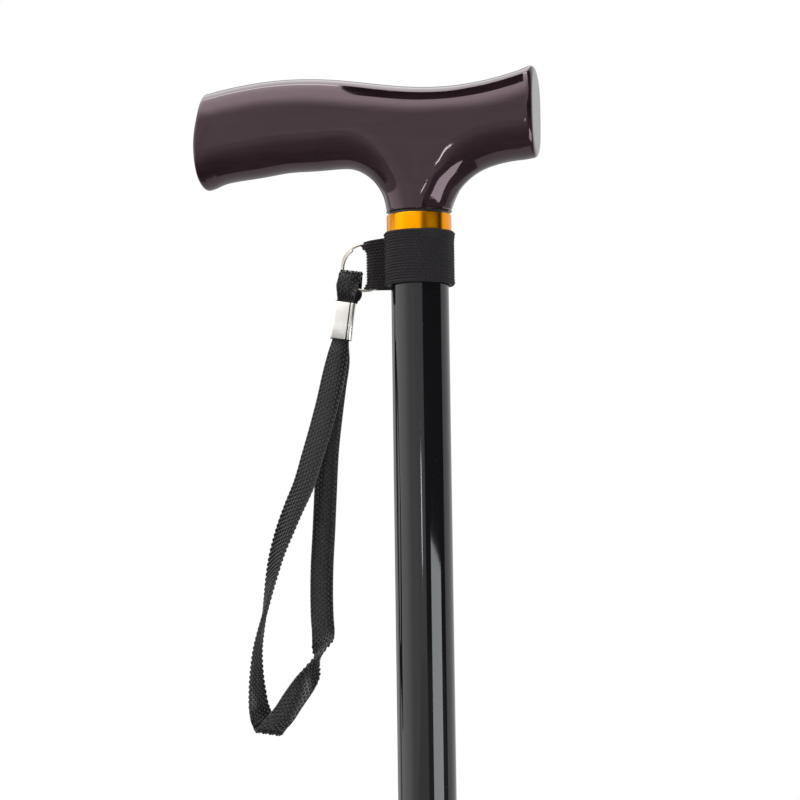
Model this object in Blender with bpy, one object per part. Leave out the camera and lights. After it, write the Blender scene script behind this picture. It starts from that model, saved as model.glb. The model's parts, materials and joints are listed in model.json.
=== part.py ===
# Height-adjustable walking cane with a wooden T-handle, a collar and a wrist strap on a split ring.
# Metres, +Z up the shaft, +X towards the handle's beak, origin at the centre of the tip's sole.
import math

import bmesh
import bpy
from mathutils import Matrix, Vector

# Clearances: between seated pieces, of the sliding tubes, and round the button
SEAT_GAP = 0.0003
SLIDE_GAP = 0.0003
BUTTON_GAP = 0.0003

# Upper tube
UPPER_TUBE_DIAMETER = 0.0220
UPPER_TUBE_WALL = 0.0012
UPPER_TUBE_LENGTH = 0.520
HOLE_PITCH = 0.025
HOLE_COUNT = 7
REST_HOLE = 3
LOWEST_HOLE_HEIGHT = 0.034

# Lower tube
LOWER_TUBE_WALL = 0.0012
LOWER_TUBE_LENGTH = 0.430
BUTTON_DROP = 0.045

# Guide bush on top of the lower tube
BUSH_FLANGE_HEIGHT = 0.004
BUSH_SPIGOT_LENGTH = 0.010
BUSH_BORE_RADIUS = 0.003
BUSH_SIDE_GAP = 0.0002
BUSH_EDGE = 0.0005

# Snap button and its leaf spring
BUTTON_RADIUS = 0.0030
BUTTON_PROUD = 0.0016
BUTTON_DOME = 0.0010
BUTTON_FLANGE_RADIUS = 0.0044
BUTTON_FLANGE_THICKNESS = 0.0008
SPRING_THICKNESS = 0.0005
SPRING_WIDTH = 0.0060
SPRING_PAD_LENGTH = 0.012
SPRING_LEG_LENGTH = 0.042
SPRING_BEND_RADIUS = 0.0025

# Rubber tip
FERRULE_HEIGHT = 0.048
FERRULE_BASE_RADIUS = 0.0190
FERRULE_NECK_WALL = 0.0030
FERRULE_SOLE = 0.010
FERRULE_FLARE_HEIGHT = 0.021
FERRULE_RIB_COUNT = 3
FERRULE_RIB_PITCH = 0.0060
FERRULE_RIB_DEPTH = 0.0008
TREAD_DEPTH = 0.0015
TREAD_WIDTH = 0.0016
TREAD_PITCH = 0.0044
TREAD_COUNT = 3
DISC_THICKNESS = 0.0015

# Collet and lock ring
COLLET_WALL = 0.0014
COLLET_SLEEVE_LENGTH = 0.020
COLLET_SHOULDER = 0.0020
COLLET_FINGER_LENGTH = 0.0095
COLLET_TAPER = 0.0007
COLLET_SLOT_WIDTH = 0.0012
LOCK_RING_WALL = 0.0024
LOCK_RING_ABOVE = 0.016
LOCK_RING_LIP = 0.0016
LOCK_RING_CHAMFER = 0.0010
FLUTE_COUNT = 14
FLUTE_RADIUS = 0.0016
FLUTE_DEPTH = 0.0007
FLUTE_END_MARGIN = 0.0035

# Plug, pin and stud that join the handle to the upper tube
PLUG_LENGTH = 0.040
PLUG_PIN_RADIUS = 0.0015
PLUG_PIN_DROP = 0.0205
STUD_RADIUS = 0.0040
STUD_IN_PLUG = 0.0160
STUD_IN_HANDLE = 0.0360

# Collar and neck washer
COLLAR_WALL = 0.0011
COLLAR_LENGTH = 0.0260
COLLAR_EDGE = 0.0004
NECK_WASHER_THICKNESS = 0.0006

# Handle: the grip runs back to -X and the beak forward to +X; heights are above the neck's foot
HANDLE_THICKNESS = 0.0254
HANDLE_ROUND = 0.0118
HANDLE_BACK = 0.0861
HANDLE_FRONT = 0.0461
HANDLE_RIM = 0.0010
GRIP_END_HEIGHT = 0.0492
GRIP_CROWN_HEIGHT = 0.0539
SADDLE_HEIGHT = 0.0481
BEAK_TIP_HEIGHT = 0.0550
GRIP_UNDER_HEIGHT = 0.0181
GRIP_HEEL_HEIGHT = 0.0124
BEAK_UNDER_HEIGHT = 0.0192

# Elastic band on the collar, and the folded tab sewn to it
BAND_THICKNESS = 0.0009
BAND_HEIGHT = 0.0204
BAND_DROP = 0.0058
BAND_YAW = math.radians(11)
TAB_HEIGHT = 0.0192
TAB_DROP = 0.0079
TAB_THICKNESS = 0.0010
TAB_REACH = 0.0070

# Split ring
RING_RADIUS = 0.0090
RING_WIRE = 0.0010
RING_COIL_GAP = 0.00042
RING_MISSING_ARC = math.radians(72)
RING_JOG_ARC = math.radians(30)
RING_CLEARANCE = 0.0004
RING_BAND_GAP = 0.0006
RING_FOLD_OFFSET = 0.0003
RING_SAG = 0.0009
RING_STEPS = 54

# Wrist strap and crimp; places are measured from the ring's centre
STRAP_WIDTH = 0.0090
STRAP_THICKNESS = 0.0015
STRAP_TILT = math.radians(7.8)
STRAP_EYE_WIDTH = 0.0086
STRAP_EYE_TOP_WIDTH = 0.0066
STRAP_EYE_TOP_SHIFT = 0.0008
STRAP_EYE_GAP = 0.0040
STRAP_EYE_X = -0.0059
STRAP_EYE_Z = -0.0047
STRAP_CRIMPED_WIDTH = 0.0066
STRAP_LAYER_GAP = 0.0003
STRAP_FOLD_RADIUS = 0.0011
CRIMP_MOUTH_X = -0.0079
CRIMP_MOUTH_Z = -0.0136
CRIMP_LENGTH = 0.0144
CRIMP_WALL = 0.0006
CRIMP_CORNER = 0.0006
CRIMP_SEAM = 0.0005
CRIMP_SEAM_X = 0.0020

ROUND_SIDES = 40

# Heights and radii that follow from the sizes above
upper_outer = UPPER_TUBE_DIAMETER / 2
upper_inner = upper_outer - UPPER_TUBE_WALL
lower_outer = upper_inner - SLIDE_GAP
lower_inner = lower_outer - LOWER_TUBE_WALL
disc_bottom = FERRULE_SOLE + SEAT_GAP
lower_bottom = disc_bottom + DISC_THICKNESS + SEAT_GAP
lower_top = lower_bottom + LOWER_TUBE_LENGTH
button_height = lower_top - BUTTON_DROP
lowest_hole = button_height - REST_HOLE * HOLE_PITCH
upper_bottom = lowest_hole - LOWEST_HOLE_HEIGHT
upper_top = upper_bottom + UPPER_TUBE_LENGTH
neck_foot = upper_top + NECK_WASHER_THICKNESS + 2 * SEAT_GAP
collar_inner = upper_outer + SEAT_GAP
collar_outer = collar_inner + COLLAR_WALL
band_inner = collar_outer + SEAT_GAP
band_outer = band_inner + BAND_THICKNESS

# The ring stands in an upright plane just far enough back to clear the band, and the tab folds round it
ring_step = RING_WIRE + RING_COIL_GAP
ring_half = (ring_step + RING_WIRE) / 2
tab_half_gap = ring_half + RING_CLEARANCE
tab_fold = band_outer + TAB_REACH
ring_x = -(tab_fold + RING_FOLD_OFFSET)
ring_z = upper_top - TAB_DROP - TAB_HEIGHT / 2 - RING_SAG
ring_inner_x = -ring_x - RING_RADIUS - RING_WIRE / 2 - RING_BAND_GAP
ring_plane = math.sqrt(max(0.0, band_outer ** 2 - ring_inner_x ** 2)) + ring_half


def clear_scene():
    for item in list(bpy.data.objects):
        bpy.data.objects.remove(item, do_unlink=True)


def material(name, colour, roughness, metallic=0.0):
    made = bpy.data.materials.new(name)
    made.use_nodes = True
    shader = made.node_tree.nodes["Principled BSDF"]
    shader.inputs["Base Color"].default_value = (*colour, 1.0)
    shader.inputs["Roughness"].default_value = roughness
    shader.inputs["Metallic"].default_value = metallic
    made.diffuse_color = (*colour, 1.0)
    return made


def add_object(name, bm, surface, parent=None):
    bmesh.ops.recalc_face_normals(bm, faces=bm.faces)
    mesh = bpy.data.meshes.new(name)
    bm.to_mesh(mesh)
    bm.free()
    mesh.shade_smooth()
    mesh.set_sharp_from_angle(angle=math.radians(35))
    mesh.materials.append(surface)
    made = bpy.data.objects.new(name, mesh)
    bpy.context.collection.objects.link(made)
    if parent:
        made.parent = parent
    return made


def add_axis(name, place, turn=0.0):
    axis = bpy.data.objects.new(name, None)
    axis.location = place
    axis.rotation_euler = (0, 0, turn)
    bpy.context.collection.objects.link(axis)
    return axis


def cut(target, bm, name):
    # A cutter stays in the scene as a guide and takes its shape out of the target
    bmesh.ops.recalc_face_normals(bm, faces=bm.faces)
    mesh = bpy.data.meshes.new(name)
    bm.to_mesh(mesh)
    bm.free()
    cutter = bpy.data.objects.new(name, mesh)
    bpy.context.collection.objects.link(cutter)
    cutter.parent = target.parent
    cutter.hide_render = True
    cutter.display_type = "WIRE"
    boolean = target.modifiers.new(name, "BOOLEAN")
    boolean.operation = "DIFFERENCE"
    boolean.solver = "EXACT"
    boolean.object = cutter


def turned(profile, closed=True, sides=ROUND_SIDES):
    # Turns a profile of (radius, height) points about Z; points on the axis become poles
    bm = bmesh.new()
    rings = []
    for radius, height in profile:
        if radius < 1e-7:
            rings.append([bm.verts.new((0, 0, height))] * sides)
            continue
        ring = []
        for side in range(sides):
            angle = 2 * math.pi * side / sides
            ring.append(bm.verts.new((radius * math.cos(angle), radius * math.sin(angle), height)))
        rings.append(ring)
    pairs = list(zip(rings, rings[1:]))
    if closed:
        pairs.append((rings[-1], rings[0]))
    for low, high in pairs:
        for side in range(sides):
            after = (side + 1) % sides
            corners = []
            for corner in (low[side], low[after], high[after], high[side]):
                if corner not in corners:
                    corners.append(corner)
            if len(corners) > 2:
                bm.faces.new(corners)
    return bm


def skin(bm, rings):
    # Joins rings of points into a closed tube with a flat cap at each end
    count = len(rings[0])
    for low, high in zip(rings, rings[1:]):
        for i in range(count):
            j = (i + 1) % count
            bm.faces.new((low[i], low[j], high[j], high[i]))
    bm.faces.new(rings[0])
    bm.faces.new(list(reversed(rings[-1])))


def slab(outline, near, far, axis="Y"):
    # Extrudes a flat outline between two planes: (x, z) points along Y, (y, z) points along X
    bm = bmesh.new()
    ends = []
    for depth in (near, far):
        ring = []
        for a, b in outline:
            ring.append(bm.verts.new((a, depth, b) if axis == "Y" else (depth, a, b)))
        ends.append(ring)
    skin(bm, ends)
    return bm


def upright(outline, low, high):
    # Extrudes an outline of (x, y) points upwards
    bm = bmesh.new()
    skin(bm, [[bm.verts.new((x, y, height)) for x, y in outline] for height in (low, high)])
    return bm


def add_box(bm, low, high):
    size = [h - l for l, h in zip(low, high)]
    centre = [(h + l) / 2 for l, h in zip(low, high)]
    place = Matrix.Translation(centre) @ Matrix.Diagonal((*size, 1))
    bmesh.ops.create_cube(bm, size=1, matrix=place)


def add_rod(bm, radius, start, end, sides=24):
    start, end = Vector(start), Vector(end)
    along = end - start
    turn = along.to_track_quat("Z", "Y").to_matrix().to_4x4()
    place = Matrix.Translation((start + end) / 2) @ turn
    bmesh.ops.create_cone(bm, cap_ends=True, segments=sides, radius1=radius, radius2=radius,
                          depth=along.length, matrix=place)


def arc(centre, radius, start, end, steps):
    points = []
    for step in range(steps + 1):
        angle = math.radians(start + (end - start) * step / steps)
        points.append((centre[0] + radius * math.cos(angle), centre[1] + radius * math.sin(angle)))
    return points


def through(knots, steps):
    # A smooth line through knots; the first two or three numbers of a knot are its place
    knots = [Vector(k) for k in knots]
    spans = [(Vector(b[:3]) - Vector(a[:3])).length for a, b in zip(knots, knots[1:])]
    runs = [(b - a) / span for a, b, span in zip(knots, knots[1:], spans)]
    slopes = [runs[0]]
    for i in range(1, len(runs)):
        slopes.append((runs[i - 1] * spans[i] + runs[i] * spans[i - 1]) / (spans[i - 1] + spans[i]))
    slopes.append(runs[-1])
    line = []
    for i, span in enumerate(spans):
        a, b = knots[i], knots[i + 1]
        leave, arrive = slopes[i] * span, slopes[i + 1] * span
        for step in range(steps):
            t = step / steps
            line.append(a + leave * t + ((b - a) * 3 - leave * 2 - arrive) * t ** 2
                        + (leave + arrive - (b - a) * 2) * t ** 3)
    line.append(knots[-1])
    return line


# Handle

def handle_outline():
    # Runs clockwise from the grip's end over the top; both ends and the neck run on past their cuts
    foot = collar_outer
    over = HANDLE_THICKNESS
    back_over = -HANDLE_BACK - over
    top = [
        (-HANDLE_BACK, GRIP_END_HEIGHT),
        (-0.0660, GRIP_CROWN_HEIGHT - 0.0011),
        (-0.0470, GRIP_CROWN_HEIGHT),
        (-0.0200, GRIP_CROWN_HEIGHT - 0.0027),
        (0.0080, SADDLE_HEIGHT),
        (0.0220, SADDLE_HEIGHT + 0.0010),
        (HANDLE_FRONT - 0.0120, BEAK_TIP_HEIGHT - 0.0037),
        (HANDLE_FRONT, BEAK_TIP_HEIGHT),
    ]
    beak_under = [
        (HANDLE_FRONT, BEAK_UNDER_HEIGHT),
        (foot + 0.0245, BEAK_UNDER_HEIGHT - 0.0007),
        (foot + 0.0152, BEAK_UNDER_HEIGHT - 0.0026),
        (foot + 0.0090, BEAK_UNDER_HEIGHT - 0.0056),
        (foot + 0.0042, BEAK_UNDER_HEIGHT - 0.0101),
        (foot + 0.0012, BEAK_UNDER_HEIGHT - 0.0156),
        (foot, 0.0),
    ]
    grip_under = [
        (-foot, 0.0),
        (-foot - 0.0008, GRIP_UNDER_HEIGHT - 0.0129),
        (-foot - 0.0045, GRIP_UNDER_HEIGHT - 0.0057),
        (-foot - 0.0100, GRIP_UNDER_HEIGHT - 0.0014),
        (-foot - 0.0162, GRIP_UNDER_HEIGHT + 0.0003),
        (-foot - 0.0240, GRIP_UNDER_HEIGHT + 0.0001),
        (-foot - 0.0330, GRIP_UNDER_HEIGHT - 0.0002),
        (-foot - 0.0400, GRIP_UNDER_HEIGHT - 0.0004),
        (-foot - 0.0470, GRIP_UNDER_HEIGHT - 0.0014),
        (-foot - 0.0560, GRIP_UNDER_HEIGHT - 0.0024),
        (-HANDLE_BACK + 0.0064, GRIP_HEEL_HEIGHT + 0.0011),
        (-HANDLE_BACK, GRIP_HEEL_HEIGHT - 0.0018),
    ]
    outline = [(back_over, GRIP_END_HEIGHT - 0.24 * over)]
    outline += [(p.x, p.y) for p in through(top, 4)]
    outline += [(HANDLE_FRONT + over, BEAK_TIP_HEIGHT + 0.36 * over),
                (HANDLE_FRONT + over, BEAK_UNDER_HEIGHT + 0.06 * over)]
    outline += [(p.x, p.y) for p in through(beak_under, 4)]
    outline += [(foot, -over), (-foot, -over)]
    outline += [(p.x, p.y) for p in through(grip_under, 4)]
    outline.append((back_over, GRIP_HEEL_HEIGHT - 0.0018 - 0.66 * over))
    return outline


def inset_point(outline, index, distance):
    # Moves a corner of the outline inwards along its mitre
    count = len(outline)
    here = Vector(outline[index])
    before = (here - Vector(outline[index - 1])).normalized()
    after = (Vector(outline[(index + 1) % count]) - here).normalized()
    inward = Vector((before.y + after.y, -before.x - after.x)).normalized()
    spread = max(0.5, inward.dot(Vector((after.y, -after.x))))
    return here + inward * (distance / spread)


def build_handle(surface):
    outline = handle_outline()
    half = HANDLE_THICKNESS / 2
    rounding = min(HANDLE_ROUND, half - 0.0004, collar_outer - 0.0004)
    levels = 6
    bm = bmesh.new()
    rings = []
    for step in range(2 * levels + 1):
        angle = math.pi * step / (2 * levels)
        distance = rounding * (1 - math.sin(angle))
        side = 1 if step > levels else -1
        depth = side * (half - rounding) - rounding * math.cos(angle)
        ring = []
        for i in range(len(outline)):
            point = inset_point(outline, i, distance)
            ring.append(bm.verts.new((point.x, depth, neck_foot + point.y)))
        rings.append(ring)
        if step == levels:
            ring = [bm.verts.new((v.co.x, -v.co.y, v.co.z)) for v in ring]
            rings.append(ring)
    skin(bm, rings)
    trim_handle(add_object("handle", bm, surface), half)


def trim_handle(handle, half):
    reach = 3 * HANDLE_THICKNESS
    side = half + 0.004
    front = bmesh.new()
    add_box(front, (HANDLE_FRONT, -side, neck_foot - reach), (HANDLE_FRONT + reach, side, neck_foot + reach))
    cut(handle, front, "beak_end_cutter")
    # The grip's end is a shallow bow that turns in under the heel
    bow = through([
        (-HANDLE_BACK + 0.0030, reach),
        (-HANDLE_BACK + 0.0026, GRIP_END_HEIGHT - 0.0032),
        (-HANDLE_BACK + 0.0009, GRIP_END_HEIGHT - 0.0120),
        (-HANDLE_BACK, GRIP_END_HEIGHT - 0.0190),
        (-HANDLE_BACK + 0.0002, GRIP_HEEL_HEIGHT + 0.0076),
        (-HANDLE_BACK + 0.0010, GRIP_HEEL_HEIGHT + 0.0032),
        (-HANDLE_BACK + 0.0034, GRIP_HEEL_HEIGHT),
        (-HANDLE_BACK + 0.0110, GRIP_HEEL_HEIGHT - 0.0060),
    ], 3)
    outline = [(p.x, neck_foot + p.y) for p in bow]
    outline += [(outline[-1][0], neck_foot - reach), (-HANDLE_BACK - reach, neck_foot - reach),
                (-HANDLE_BACK - reach, neck_foot + reach)]
    cut(handle, slab(outline, -side, side), "grip_end_cutter")
    foot = bmesh.new()
    wide = collar_outer + 0.004
    add_box(foot, (-wide, -side, neck_foot - reach), (wide, side, neck_foot))
    cut(handle, foot, "neck_foot_cutter")
    bore = bmesh.new()
    add_rod(bore, STUD_RADIUS + SEAT_GAP, (0, 0, neck_foot - 0.002),
            (0, 0, neck_foot + STUD_IN_HANDLE + 2 * SEAT_GAP))
    cut(handle, bore, "stud_bore_cutter")
    rim = handle.modifiers.new("rim", "BEVEL")
    rim.width = HANDLE_RIM
    rim.segments = 2
    rim.limit_method = "ANGLE"
    rim.angle_limit = math.radians(50)


# Joint between handle and shaft

def build_neck(steel, nylon, amber):
    low = upper_top - STUD_IN_PLUG
    high = neck_foot + STUD_IN_HANDLE
    tip = STUD_RADIUS * 0.8
    add_object("handle_stud", turned([(0, low), (tip, low), (STUD_RADIUS, low + 0.001),
                                      (STUD_RADIUS, high - 0.002), (tip / 2, high), (0, high)],
                                     closed=False, sides=24), steel)
    plug_radius = upper_inner - SEAT_GAP
    bore = STUD_RADIUS + SEAT_GAP
    plug = add_object("shaft_plug", turned([
        (bore, upper_top), (bore, low - SEAT_GAP), (0, low - SEAT_GAP - 0.001),
        (0, upper_top - PLUG_LENGTH), (plug_radius - 0.001, upper_top - PLUG_LENGTH),
        (plug_radius, upper_top - PLUG_LENGTH + 0.001), (plug_radius, upper_top)]), nylon)
    pin_height = upper_top - PLUG_PIN_DROP
    hole = bmesh.new()
    add_rod(hole, PLUG_PIN_RADIUS + SEAT_GAP, (0, -2 * upper_outer, pin_height),
            (0, 2 * upper_outer, pin_height))
    cut(plug, hole, "plug_pin_cutter")
    pin = bmesh.new()
    reach = upper_outer - SEAT_GAP / 2
    add_rod(pin, PLUG_PIN_RADIUS, (0, -reach, pin_height), (0, reach, pin_height), sides=20)
    add_object("plug_pin", pin, steel)
    washer_low = upper_top + SEAT_GAP
    add_object("neck_washer", turned([
        (bore, washer_low), (collar_outer, washer_low),
        (collar_outer, washer_low + NECK_WASHER_THICKNESS),
        (bore, washer_low + NECK_WASHER_THICKNESS)]), nylon)
    low = upper_top - COLLAR_LENGTH
    add_object("collar", turned([
        (collar_inner, low), (collar_outer, low), (collar_outer, upper_top - COLLAR_EDGE),
        (collar_outer - COLLAR_EDGE, upper_top), (collar_inner, upper_top)]), amber)


# Telescopic shaft

def build_upper_tube(surface):
    tube = add_object("upper_tube", turned([
        (upper_inner, upper_bottom), (upper_outer, upper_bottom),
        (upper_outer, upper_top), (upper_inner, upper_top)]), surface)
    holes = bmesh.new()
    for hole in range(HOLE_COUNT):
        height = lowest_hole + hole * HOLE_PITCH
        add_rod(holes, BUTTON_RADIUS + BUTTON_GAP, (0, -2 * upper_outer, height), (0, 0, height))
    pin_height = upper_top - PLUG_PIN_DROP
    add_rod(holes, PLUG_PIN_RADIUS + SEAT_GAP, (0, -2 * upper_outer, pin_height),
            (0, 2 * upper_outer, pin_height))
    cut(tube, holes, "upper_hole_cutter")


def build_lower_tube(surface, nylon, axis):
    tube = add_object("lower_tube", turned([
        (lower_inner, lower_bottom), (lower_outer, lower_bottom),
        (lower_outer, lower_top), (lower_inner, lower_top)]), surface, axis)
    hole = bmesh.new()
    add_rod(hole, BUTTON_RADIUS + BUTTON_GAP, (0, -2 * lower_outer, button_height), (0, 0, button_height))
    cut(tube, hole, "lower_hole_cutter")
    seat = lower_top + SEAT_GAP
    spigot = lower_inner - SEAT_GAP
    flange = upper_inner - BUSH_SIDE_GAP
    add_object("guide_bush", turned([
        (BUSH_BORE_RADIUS, seat - BUSH_SPIGOT_LENGTH), (spigot, seat - BUSH_SPIGOT_LENGTH), (spigot, seat),
        (flange, seat), (flange, seat + BUSH_FLANGE_HEIGHT - BUSH_EDGE),
        (flange - BUSH_EDGE, seat + BUSH_FLANGE_HEIGHT), (BUSH_BORE_RADIUS, seat + BUSH_FLANGE_HEIGHT)]),
        nylon, axis)


def flange_front():
    # How far from the axis the button's flange can stand inside the lower tube
    room = lower_inner - BUTTON_GAP
    return math.sqrt(room ** 2 - BUTTON_FLANGE_RADIUS ** 2)


def build_button(steel, slide_axis, shaft_axis):
    front = flange_front()
    back = front - BUTTON_FLANGE_THICKNESS
    tip = upper_outer + BUTTON_PROUD
    bm = turned([
        (0, back), (BUTTON_FLANGE_RADIUS, back), (BUTTON_FLANGE_RADIUS, front), (BUTTON_RADIUS, front),
        (BUTTON_RADIUS, tip - BUTTON_DOME), (BUTTON_RADIUS * 0.82, tip - BUTTON_DOME * 0.42),
        (BUTTON_RADIUS * 0.45, tip - BUTTON_DOME * 0.1), (0, tip)], closed=False, sides=24)
    bm.transform(Matrix.Rotation(math.radians(90), 4, "X"))
    add_object("snap_button", bm, steel, slide_axis)
    # V leaf: a pad behind the button, a bend below it and a leg along the far wall
    half = SPRING_THICKNESS / 2
    pad = -(back - SEAT_GAP - half)
    far = math.sqrt((lower_inner - SEAT_GAP) ** 2 - (SPRING_WIDTH / 2) ** 2) - half
    low = button_height - SPRING_LEG_LENGTH
    bend = far - SPRING_BEND_RADIUS
    middle = [(pad, button_height + SPRING_PAD_LENGTH / 2), (pad, button_height - SPRING_PAD_LENGTH / 2)]
    middle += arc((bend, low), SPRING_BEND_RADIUS, 200, 360, 8)
    middle += [(far, button_height - SPRING_PAD_LENGTH)]
    outer = [inset_open(middle, i, half) for i in range(len(middle))]
    inner = [inset_open(middle, i, -half) for i in range(len(middle))]
    add_object("button_spring", slab(outer + inner[::-1], -SPRING_WIDTH / 2, SPRING_WIDTH / 2, axis="X"),
               steel, shaft_axis)


def inset_open(line, index, distance):
    # Moves a point of an open line sideways along its mitre
    here = Vector(line[index])
    before = here - Vector(line[max(index - 1, 0)])
    after = Vector(line[min(index + 1, len(line) - 1)]) - here
    before = before.normalized() if before.length else after.normalized()
    after = after.normalized() if after.length else before
    side = Vector((before.y + after.y, -before.x - after.x)).normalized()
    return tuple(here + side * (distance / side.dot(Vector((after.y, -after.x)))))


def build_collet(nylon, ring_axis):
    sleeve_inner = upper_outer + SEAT_GAP
    sleeve_outer = sleeve_inner + COLLET_WALL
    seat = upper_bottom - SEAT_GAP
    shoulder = seat - COLLET_SHOULDER
    tip = shoulder - COLLET_FINGER_LENGTH
    grip = lower_outer + SLIDE_GAP
    top = upper_bottom + COLLET_SLEEVE_LENGTH
    collet = add_object("collet", turned([
        (grip, tip), (sleeve_outer - 2 * COLLET_TAPER, tip), (sleeve_outer - COLLET_TAPER, shoulder),
        (sleeve_outer, shoulder), (sleeve_outer, top), (sleeve_inner, top), (sleeve_inner, seat),
        (grip, seat)]), nylon)
    slots = bmesh.new()
    wide = 2 * sleeve_outer
    half = COLLET_SLOT_WIDTH / 2
    add_box(slots, (-wide, -half, tip - 0.002), (wide, half, shoulder - COLLET_SHOULDER / 4))
    cut(collet, slots, "collet_slot_cutter_x")
    slots = bmesh.new()
    add_box(slots, (-half, -wide, tip - 0.002), (half, wide, shoulder - COLLET_SHOULDER / 4))
    cut(collet, slots, "collet_slot_cutter_y")
    inner = sleeve_outer + SEAT_GAP
    outer = inner + LOCK_RING_WALL
    lip_top = tip - SEAT_GAP
    low = lip_top - LOCK_RING_LIP
    high = upper_bottom + LOCK_RING_ABOVE
    ring = add_object("lock_ring", turned([
        (grip, low), (outer - LOCK_RING_CHAMFER, low), (outer, low + LOCK_RING_CHAMFER),
        (outer, high - LOCK_RING_CHAMFER), (outer - LOCK_RING_CHAMFER, high), (inner, high),
        (inner, shoulder), (inner - COLLET_TAPER, lip_top), (grip, lip_top)]), nylon, ring_axis)
    flutes = bmesh.new()
    for flute in range(FLUTE_COUNT):
        angle = 2 * math.pi * flute / FLUTE_COUNT
        reach = outer + FLUTE_RADIUS - FLUTE_DEPTH
        x = reach * math.cos(angle)
        y = reach * math.sin(angle)
        add_rod(flutes, FLUTE_RADIUS, (x, y, low + FLUTE_END_MARGIN), (x, y, high - FLUTE_END_MARGIN), 12)
    cut(ring, flutes, "flute_cutter")


def build_ferrule(rubber, steel, axis):
    bore = lower_outer + SEAT_GAP
    neck = bore + FERRULE_NECK_WALL
    profile = [(0, 0)]
    for groove in range(TREAD_COUNT):
        inner = TREAD_PITCH * (groove + 1)
        profile += [(inner, 0), (inner + 0.0002, TREAD_DEPTH),
                    (inner + TREAD_WIDTH - 0.0002, TREAD_DEPTH), (inner + TREAD_WIDTH, 0)]
    profile += [(FERRULE_BASE_RADIUS - 0.0008, 0), (FERRULE_BASE_RADIUS, 0.0010),
                (FERRULE_BASE_RADIUS, 0.0045)]
    waist = FERRULE_BASE_RADIUS - neck
    for step in range(1, 7):
        share = step / 6
        profile.append((neck + waist * (1 - share) ** 2, 0.0045 + (FERRULE_FLARE_HEIGHT - 0.0045) * share))
    for rib in range(FERRULE_RIB_COUNT):
        low = FERRULE_FLARE_HEIGHT + 0.002 + rib * FERRULE_RIB_PITCH
        out = neck + FERRULE_RIB_DEPTH
        profile += [(neck, low), (out, low + 0.0008), (out, low + 0.0028), (neck, low + 0.0036)]
    profile += [(neck, FERRULE_HEIGHT - 0.0030), (neck + 0.0006, FERRULE_HEIGHT - 0.0024),
                (neck + 0.0006, FERRULE_HEIGHT - 0.0008), (neck - 0.0002, FERRULE_HEIGHT),
                (bore, FERRULE_HEIGHT), (bore, FERRULE_SOLE), (0, FERRULE_SOLE)]
    add_object("ferrule", turned(profile, closed=False), rubber, axis)
    disc = lower_outer
    add_object("ferrule_washer", turned([
        (0, disc_bottom), (disc, disc_bottom), (disc, disc_bottom + DISC_THICKNESS),
        (0, disc_bottom + DISC_THICKNESS)], closed=False), steel, axis)


# Band, tab and ring, in a frame turned to the side on which the strap hangs

def build_band(elastic, axis):
    top = upper_top - BAND_DROP
    low = top - BAND_HEIGHT
    edge = BAND_THICKNESS * 0.3
    add_object("shaft_band", turned([
        (band_inner, low), (band_outer - edge, low), (band_outer, low + edge), (band_outer, top - edge),
        (band_outer - edge, top), (band_inner, top)]), elastic, axis)
    build_tab(elastic, axis)


def build_tab(elastic, axis):
    top = upper_top - TAB_DROP
    low = top - TAB_HEIGHT
    fold_radius = tab_half_gap + TAB_THICKNESS
    centre = (fold_radius - tab_fold, ring_plane)
    clear = band_outer + SEAT_GAP
    outline = []
    for radius, order in ((fold_radius, 1), (tab_half_gap, -1)):
        front = centre[1] - radius
        back = centre[1] + radius
        run = [(-math.sqrt(max(0.0, clear ** 2 - front ** 2)), front)]
        run += arc(centre, radius, 270, 90, 10)
        run.append((-math.sqrt(max(0.0, clear ** 2 - back ** 2)), back))
        outline += run[::order]
    tab = add_object("ring_tab", upright(outline, low, top), elastic, axis)
    # The ring's wire leaves the tab over a notch at each end of the fold
    notches = bmesh.new()
    pocket = ring_half + 0.75 * RING_CLEARANCE
    right = centre[0] - math.sqrt(tab_half_gap ** 2 - pocket ** 2)
    floor = math.sqrt((RING_RADIUS - RING_WIRE / 2) ** 2 - (right - ring_x) ** 2) - RING_CLEARANCE
    left = -tab_fold - TAB_THICKNESS
    near = ring_plane - ring_half - SEAT_GAP
    far = ring_plane + ring_half + SEAT_GAP
    add_box(notches, (left, near, ring_z + floor), (right, far, top + TAB_THICKNESS))
    add_box(notches, (left, near, low - TAB_THICKNESS), (right, far, ring_z - floor))
    cut(tab, notches, "tab_notch_cutter")


def ring_points():
    # Nearly two turns of wire: it steps over to the second coil where only one coil runs
    total = 4 * math.pi - RING_MISSING_ARC
    first = (math.pi + RING_MISSING_ARC) / 2
    step_start = 2 * math.pi - (RING_MISSING_ARC + RING_JOG_ARC) / 2
    points = []
    for step in range(RING_STEPS + 1):
        run = total * step / RING_STEPS
        share = min(1.0, max(0.0, (run - step_start) / RING_JOG_ARC))
        depth = ring_step * (share * share * (3 - 2 * share) - 0.5)
        angle = first + run
        points.append((RING_RADIUS * math.cos(angle), depth, RING_RADIUS * math.sin(angle)))
    return points


def print_least_gap(name, points, radius):
    # Least gap between stretches of one wire that are more than a few thicknesses apart along it
    line = [Vector(p) for p in points]
    runs = [0.0]
    for before, after in zip(line, line[1:]):
        runs.append(runs[-1] + (after - before).length)
    least = 1.0
    for i, here in enumerate(line):
        for j in range(i + 1, len(line)):
            if runs[j] - runs[i] > 8 * radius:
                least = min(least, (line[j] - here).length - 2 * radius)
    print(f"{name}: least gap to itself {least * 1000:.2f} mm")


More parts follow.
